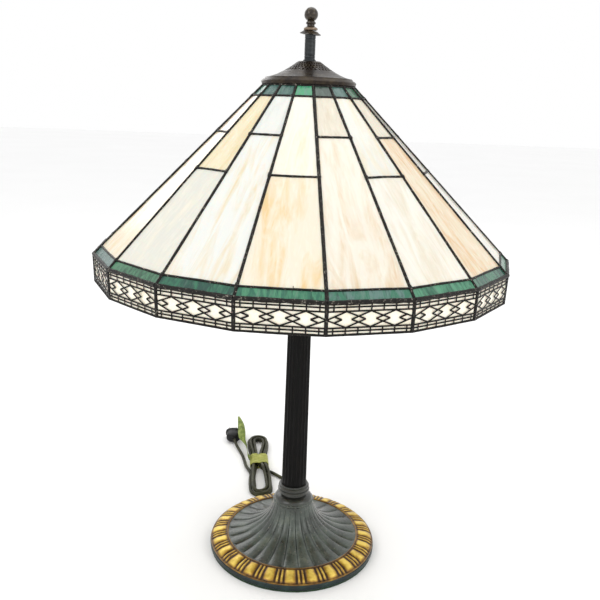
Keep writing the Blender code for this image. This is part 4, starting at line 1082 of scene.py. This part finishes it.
# ---- Column: a tapering bronze tube with twenty flutes and a plain ring at its head, blackened.
# It is cast in one piece and clamped between base and sockets by the rod inside it.
COLUMN_FLUTES = 20
COLUMN_FOOT_RADIUS = 0.0168
COLUMN_HEAD_RADIUS = 0.0138
COLUMN_FLUTE_DEPTH = 0.0012
COLUMN_BORE = 0.0110
HEAD_RING_RADIUS = 0.0165
HEAD_RING = 0.0100
column_low, column_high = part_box("column")
ring_foot = column_high.z - HEAD_RING


def column_shape(radius, height, angle):
    """Hollow flutes with sharp edges between them, closed at both ends of the shaft."""
    if height > ring_foot - 0.004 or radius <= COLUMN_BORE:
        return radius, height
    ends = min(1.0, (height - column_low.z) / 0.003, (ring_foot - 0.004 - height) / 0.003 + 0.2)
    hollow = abs(math.cos(COLUMN_FLUTES * angle / 2)) ** 0.8
    return radius - COLUMN_FLUTE_DEPTH * max(ends, 0.0) * hollow, height


column_outline = [(COLUMN_BORE, column_low.z)]
for step in range(33):
    share = step / 32
    column_outline.append((COLUMN_FOOT_RADIUS + (COLUMN_HEAD_RADIUS - COLUMN_FOOT_RADIUS) * share,
                           column_low.z + (ring_foot - column_low.z) * share))
column_outline += [(HEAD_RING_RADIUS - 0.0012, ring_foot), (HEAD_RING_RADIUS, ring_foot + 0.0015),
                   (HEAD_RING_RADIUS, column_high.z - 0.0022), (HEAD_RING_RADIUS - 0.0015, column_high.z),
                   (COLUMN_BORE, column_high.z)]
black = Finish("blackened_bronze", 0.5, 0.0, Specular_IOR_Level=0.12)
black_wear = black.noise(1.0, 5, place=black.stretched(black.place, (90, 90, 26)))
black.colour(black_wear, (0.3, paint(4, 4, 3)), (0.55, paint(9, 8, 7)), (0.78, paint(22, 20, 16)))
black.shine(black_wear, 0.3, 0.55)
black.bump(black.noise(380, 4), 0.0003)
column_points, column_faces = turned(column_outline, COLUMN_FLUTES * 10, column_shape)
show("fluted_column", mesh_of("fluted_column", column_points, column_faces), black, "root",
     "dark_bronze", "column", sharp=45)


# ---- Base: one heavy casting. A collar of rings, a fluted dome of 26 lobes under grey-green patina,
# and a border of gilt lobes and ribs, worn to brown in the hollows, inside a dark teal edge.
BASE_RADIUS = 0.1130
BASE_EDGE_Z = 0.0108
BORDER_INNER = 0.0905
BORDER_INNER_Z = 0.0187
BEAD_RADIUS = 0.0272
BEAD_Z = 0.0690
LOBES = 26
LOBE_DEPTH = 0.0020
REPEATS = 24
RELIEF = 0.0017
KNEE_Z = 0.0162                   # height of the bend in the border
KNEE_SHARE = 0.56
CROWN_RADIUS = BASE_RADIUS - 0.0012   # where the border's relief ends, inside the edge
# shares of the way out from the bead and up to it
DOME_SHARES = [(1.0, 0.0), (0.985, 0.006), (0.87, 0.026), (0.708, 0.066), (0.55, 0.135),
               (0.408, 0.229), (0.29, 0.325), (0.186, 0.453), (0.118, 0.565), (0.068, 0.682),
               (0.028, 0.800), (0.004, 0.905)]
base_low, base_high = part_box("base_casting")

dome_outline = []
dome_start = BORDER_INNER - 0.0018
for out, up in DOME_SHARES:
    dome_outline.append((BEAD_RADIUS + (dome_start - BEAD_RADIUS) * out,
                         BORDER_INNER_Z - 0.0005 + (BEAD_Z - BORDER_INNER_Z) * up))
dome_outline = [tuple(point)[:2] for point in smooth_line([(r, z, 0.0) for r, z in dome_outline], 4)]
collar_line = [(BEAD_RADIUS - 0.0007, BEAD_Z - 0.0030), (BEAD_RADIUS + 0.0005, BEAD_Z - 0.0019),
               (BEAD_RADIUS + 0.0007, BEAD_Z - 0.0004), (BEAD_RADIUS, BEAD_Z + 0.0008),
               (BEAD_RADIUS - 0.0012, BEAD_Z + 0.0013), (0.0258, 0.0712), (0.0247, 0.0735),
               (0.0222, 0.0754), (0.0190, 0.0765), (0.0174, 0.0776), (0.0172, 0.0798),
               (0.0184, 0.0804), (0.0206, 0.0808), (0.0214, 0.0813), (0.0214, 0.0846),
               (0.0208, 0.0852), (0.0198, 0.0856), (0.0196, 0.0864), (0.0206, 0.0870),
               (0.0207, 0.0892), (0.0200, 0.0900), (0.0188, 0.0906), (0.0186, base_high.z),
               (0.0160, base_high.z)]


def dome_shape(radius, height, angle):
    """Rounded lobes with sharp valleys between them, fading out at both ends."""
    share = (radius - BEAD_RADIUS) / (dome_start - BEAD_RADIUS)
    if height < BORDER_INNER_Z - 0.001 or share < 0.0 or radius > dome_start - 0.0006:
        return radius, height
    lobe = abs(math.cos(LOBES * angle / 2)) ** 0.5
    foot = eased((1.0 - share) / 0.06)
    depth = LOBE_DEPTH * (0.35 + 0.65 * min(1.0, share * 2.5)) * min(1.0, share / 0.02 + 0.35)
    end_round = eased((0.985 - share) / 0.05) if lobe > 0.3 else 0.0
    sunk = depth * (1 - lobe) * foot + LOBE_DEPTH * 0.4 * (1 - end_round) * foot * 0.5
    return radius - sunk * 0.55, height - sunk * 0.8


inside_line = [(0.0135, base_high.z), (0.0135, 0.0700), (0.0230, 0.0640), (0.0300, 0.0480),
               (0.0420, 0.0310), (0.0600, 0.0210), (0.0870, 0.0125), (dome_start, 0.0125)]
dome_points, dome_faces = turned(list(dome_outline) + collar_line + inside_line, LOBES * 14, dome_shape)
patina = Finish("grey_green_patina", 0.26, 0.35, Coat_Weight=0.5, Coat_Roughness=0.12)
patches = patina.noise(38, 6, rough=0.6)
grain = patina.noise(340, 4)
patina_colour = patina.ramp(patches, (0.30, paint(38, 40, 35)), (0.46, paint(56, 62, 56)),
                            (0.60, paint(74, 82, 75)), (0.74, paint(98, 104, 92)))
patina_colour = patina.mix(patina.ramp(grain, (0.62, 0.0), (0.72, 0.5)), patina_colour,
                           paint(130, 126, 108))
patina_colour = patina.mix(patina.ramp(grain, (0.28, 0.8), (0.38, 0.0)), patina_colour, paint(24, 26, 22))
patina_colour = patina.mix(patina.own("collar").outputs["Fac"], patina_colour, paint(34, 32, 28))
patina.feed("Base Color", patina_colour)
patina.shine(patches, 0.22, 0.45)
patina.bump(grain, 0.0005)
dome_mesh = mesh_of("base_dome", dome_points, dome_faces)
collar_layer = dome_mesh.attributes.new("collar", "FLOAT", "POINT")
collar_layer.data.foreach_set("value", [0.75 * eased((point.co.z - BEAD_Z) / 0.004)
                                        for point in dome_mesh.vertices])
show("base_dome", dome_mesh, patina, "root", "patina", "base_casting", sharp=40)


def border_relief(angle, share):
    """Height of the border's relief, 0 to 1, at an angle and a share of its width from the outside."""
    around = abs((angle * REPEATS / (2 * math.pi) + 0.5) % 1.0 - 0.5)
    lobe = max(0.0, 1 - (around / 0.255) ** 2) ** 0.5
    rib = max(0.0, 1 - ((around - 0.40) / 0.062) ** 2) ** 0.5 * 0.85
    ends = min(1.0, eased(share / 0.16), eased((1 - share) / 0.14))
    return max(lobe, rib) * ends


def border_share(radius):
    """How far inward from the border's outer edge a radius lies, 0 to 1."""
    return (CROWN_RADIUS - radius) / (CROWN_RADIUS - BORDER_INNER)


def border_shape(radius, height, angle):
    """Lifts the border's outline by its relief."""
    share = border_share(radius)
    if height < BASE_EDGE_Z - 0.002 or not 0.0 < share < 1.0:
        return radius, height
    raised = RELIEF * border_relief(angle, share)
    return radius + raised * 0.35, height - 0.0006 + raised * 0.9


gilt_line = [(BORDER_INNER - 0.0020, 0.0100), (BORDER_INNER - 0.0020, BORDER_INNER_Z + 0.0002),
             (BORDER_INNER - 0.0008, BORDER_INNER_Z + 0.0009),
             (BORDER_INNER + 0.0002, BORDER_INNER_Z + 0.0004)]
for step in range(1, 17):
    share = step / 17
    radius = BORDER_INNER + (CROWN_RADIUS - BORDER_INNER) * share
    bend = BORDER_INNER_Z + (KNEE_Z - BORDER_INNER_Z) * min(1.0, share / KNEE_SHARE)
    if share > KNEE_SHARE:
        bend = KNEE_Z + (BASE_EDGE_Z - KNEE_Z) * ((share - KNEE_SHARE) / (1 - KNEE_SHARE)) ** 1.35
    gilt_line.append((radius, bend))
gilt_line += [(BASE_RADIUS - 0.0010, BASE_EDGE_Z + 0.0004), (BASE_RADIUS - 0.0006, BASE_EDGE_Z - 0.0006),
              (BASE_RADIUS - 0.0014, BASE_EDGE_Z - 0.0022), (BASE_RADIUS - 0.0080, BASE_EDGE_Z - 0.0030)]
gilt_points, gilt_faces = turned(gilt_line, REPEATS * 30, border_shape)
gilt_mesh = mesh_of("gilt_border", gilt_points, gilt_faces)
raised_layer = gilt_mesh.attributes.new("raised", "FLOAT", "POINT")
raised_values = []
for point in gilt_mesh.vertices:
    radius = math.hypot(point.co.x, point.co.y)
    angle = math.atan2(point.co.x, -point.co.y)
    share = border_share(radius)
    raised_values.append(border_relief(angle, share) if 0.0 < share < 1.0 else 0.35)
raised_layer.data.foreach_set("value", raised_values)
gilt = Finish("worn_gilt", 0.34, 0.5, Coat_Weight=0.2, Coat_Roughness=0.2)
gilt_patches = gilt.noise(70, 5, rough=0.62)
gilt_amount = gilt.maths("ADD", gilt.maths("MULTIPLY", gilt.own("raised").outputs["Fac"], 0.55),
                         gilt.maths("MULTIPLY", gilt_patches, 0.75))
gilt.colour(gilt_amount, (0.40, paint(60, 40, 16)), (0.56, paint(120, 84, 28)),
            (0.76, paint(184, 146, 50)), (0.95, paint(236, 206, 96)))
gilt.shine(gilt_patches, 0.26, 0.48)
gilt.bump(gilt.noise(300, 4), 0.0005)
show("gilt_border", gilt_mesh, gilt, "root", "brass", sharp=50)

edge_line = [(BORDER_INNER - 0.0060, base_low.z), (CROWN_RADIUS, base_low.z),
             (BASE_RADIUS, base_low.z + 0.0012), (BASE_RADIUS, BASE_EDGE_Z - 0.0022),
             (BASE_RADIUS - 0.0008, BASE_EDGE_Z - 0.0012), (BASE_RADIUS - 0.0030, BASE_EDGE_Z - 0.0010),
             (BORDER_INNER - 0.0060, BASE_EDGE_Z - 0.0010)]
teal = Finish("dark_teal_enamel", 0.32, 0.2)
teal_patches = teal.noise(60, 5)
teal.colour(teal_patches, (0.3, paint(5, 18, 18)), (0.55, paint(10, 32, 32)), (0.80, paint(34, 60, 54)))
teal.shine(teal_patches, 0.24, 0.5)
teal.bump(teal.noise(260, 4), 0.0004)
show("base_edge", mesh_of("base_edge", *turned(edge_line, 240)), teal, "root", "patina")


# ---- Inside parts kept from the CAD: the threaded steel rod, the brass socket cluster, the felt pad
# glued under the base, and the two frosted bulbs screwed into the sockets with their pull chains.
# They get finishes of their own.
def refinish(node, finish, bevel=0.0):
    """Put a finish on a CAD node and soften its edges."""
    piece = bpy.data.objects[node]
    for place in range(len(piece.data.materials)):
        piece.data.materials[place] = finish.material
    if bevel:
        rounding = piece.modifiers.new("rounding", "BEVEL")
        rounding.width = bevel
        rounding.segments = 2
        rounding.limit_method = "ANGLE"


rod_steel = Finish("threaded_steel", 0.4, 0.7)
thread = rod_steel.noise(1.0, 3, place=rod_steel.stretched(rod_steel.place, (40, 40, 900)))
rod_steel.colour(thread, (0.3, paint(70, 66, 58)), (0.7, paint(140, 134, 120)))
rod_steel.bump(thread, 0.0008)
refinish("centre_rod", rod_steel)
refinish("twin_socket", old_brass, 0.0008)
felt = Finish("green_felt", 0.95)
felt.colour(felt.noise(260, 5), (0.3, paint(28, 48, 34)), (0.7, paint(56, 78, 56)))
felt.bump(felt.noise(1400, 3), 0.0006)
refinish("base_pad", felt)
opal = Finish("frosted_bulb", 0.3, Subsurface_Weight=0.3, Subsurface_Scale=0.01)
opal.colour(opal.noise(40, 3), (0.3, paint(238, 236, 226)), (0.7, paint(250, 248, 240)))
opal.bump(opal.noise(300, 2), 0.0001)
chain_brass = Finish("chain_brass", 0.3, 0.9)
chain_brass.colour(chain_brass.noise(300, 3), (0.3, paint(150, 118, 58)), (0.7, paint(206, 172, 96)))
chain_brass.bump(chain_brass.noise(900, 2), 0.0002)
for node in ("bulb_1", "bulb_2"):
    refinish(node, opal)
for node in ("pull_chain_1", "pull_chain_2"):
    refinish(node, chain_brass)


# ---- Floor, light and view: a plain pale floor that runs into a pale world, lit by soft large panels.
FLOOR_REACH = 14.0
floor_corners = [(x * FLOOR_REACH, y * FLOOR_REACH, 0) for x, y in ((-1, -1), (1, -1), (1, 1), (-1, 1))]
floor = bpy.data.objects.new("floor", mesh_of("floor", floor_corners, [(0, 1, 2, 3)]))
floor_paint = Finish("white_floor", 0.7, Specular_IOR_Level=0.2)
floor_paint.colour(floor_paint.noise(1.5, 3), (0.3, 0.95), (0.7, 0.97))
floor.data.materials.append(floor_paint.material)
bpy.context.scene.collection.objects.link(floor)

# name, place, size in metres, power in watts
LIGHTS = [("key", (-1.5, -1.5, 1.7), 1.2, 11), ("fill", (1.7, -1.2, 1.3), 1.2, 8),
          ("top", (0.2, 0.4, 2.4), 1.8, 11), ("rim", (-0.9, 1.7, 1.3), 1.0, 5)]
for name, place, size, power in LIGHTS:
    lamp = bpy.data.lights.new(name, "AREA")
    lamp.size = size
    lamp.energy = power
    light = bpy.data.objects.new(name, lamp)
    light.location = place
    light.rotation_euler = (Vector((0.0, 0.0, 0.35)) - Vector(place)).to_track_quat("-Z", "Y").to_euler()
    bpy.context.scene.collection.objects.link(light)
world = bpy.data.worlds.new("studio")
world.use_nodes = True
world.node_tree.nodes["Background"].inputs["Color"].default_value = (1.0, 1.0, 1.0, 1.0)
world.node_tree.nodes["Background"].inputs["Strength"].default_value = 1.0
bpy.context.scene.world = world
bpy.context.scene.view_settings.view_transform = "Standard"
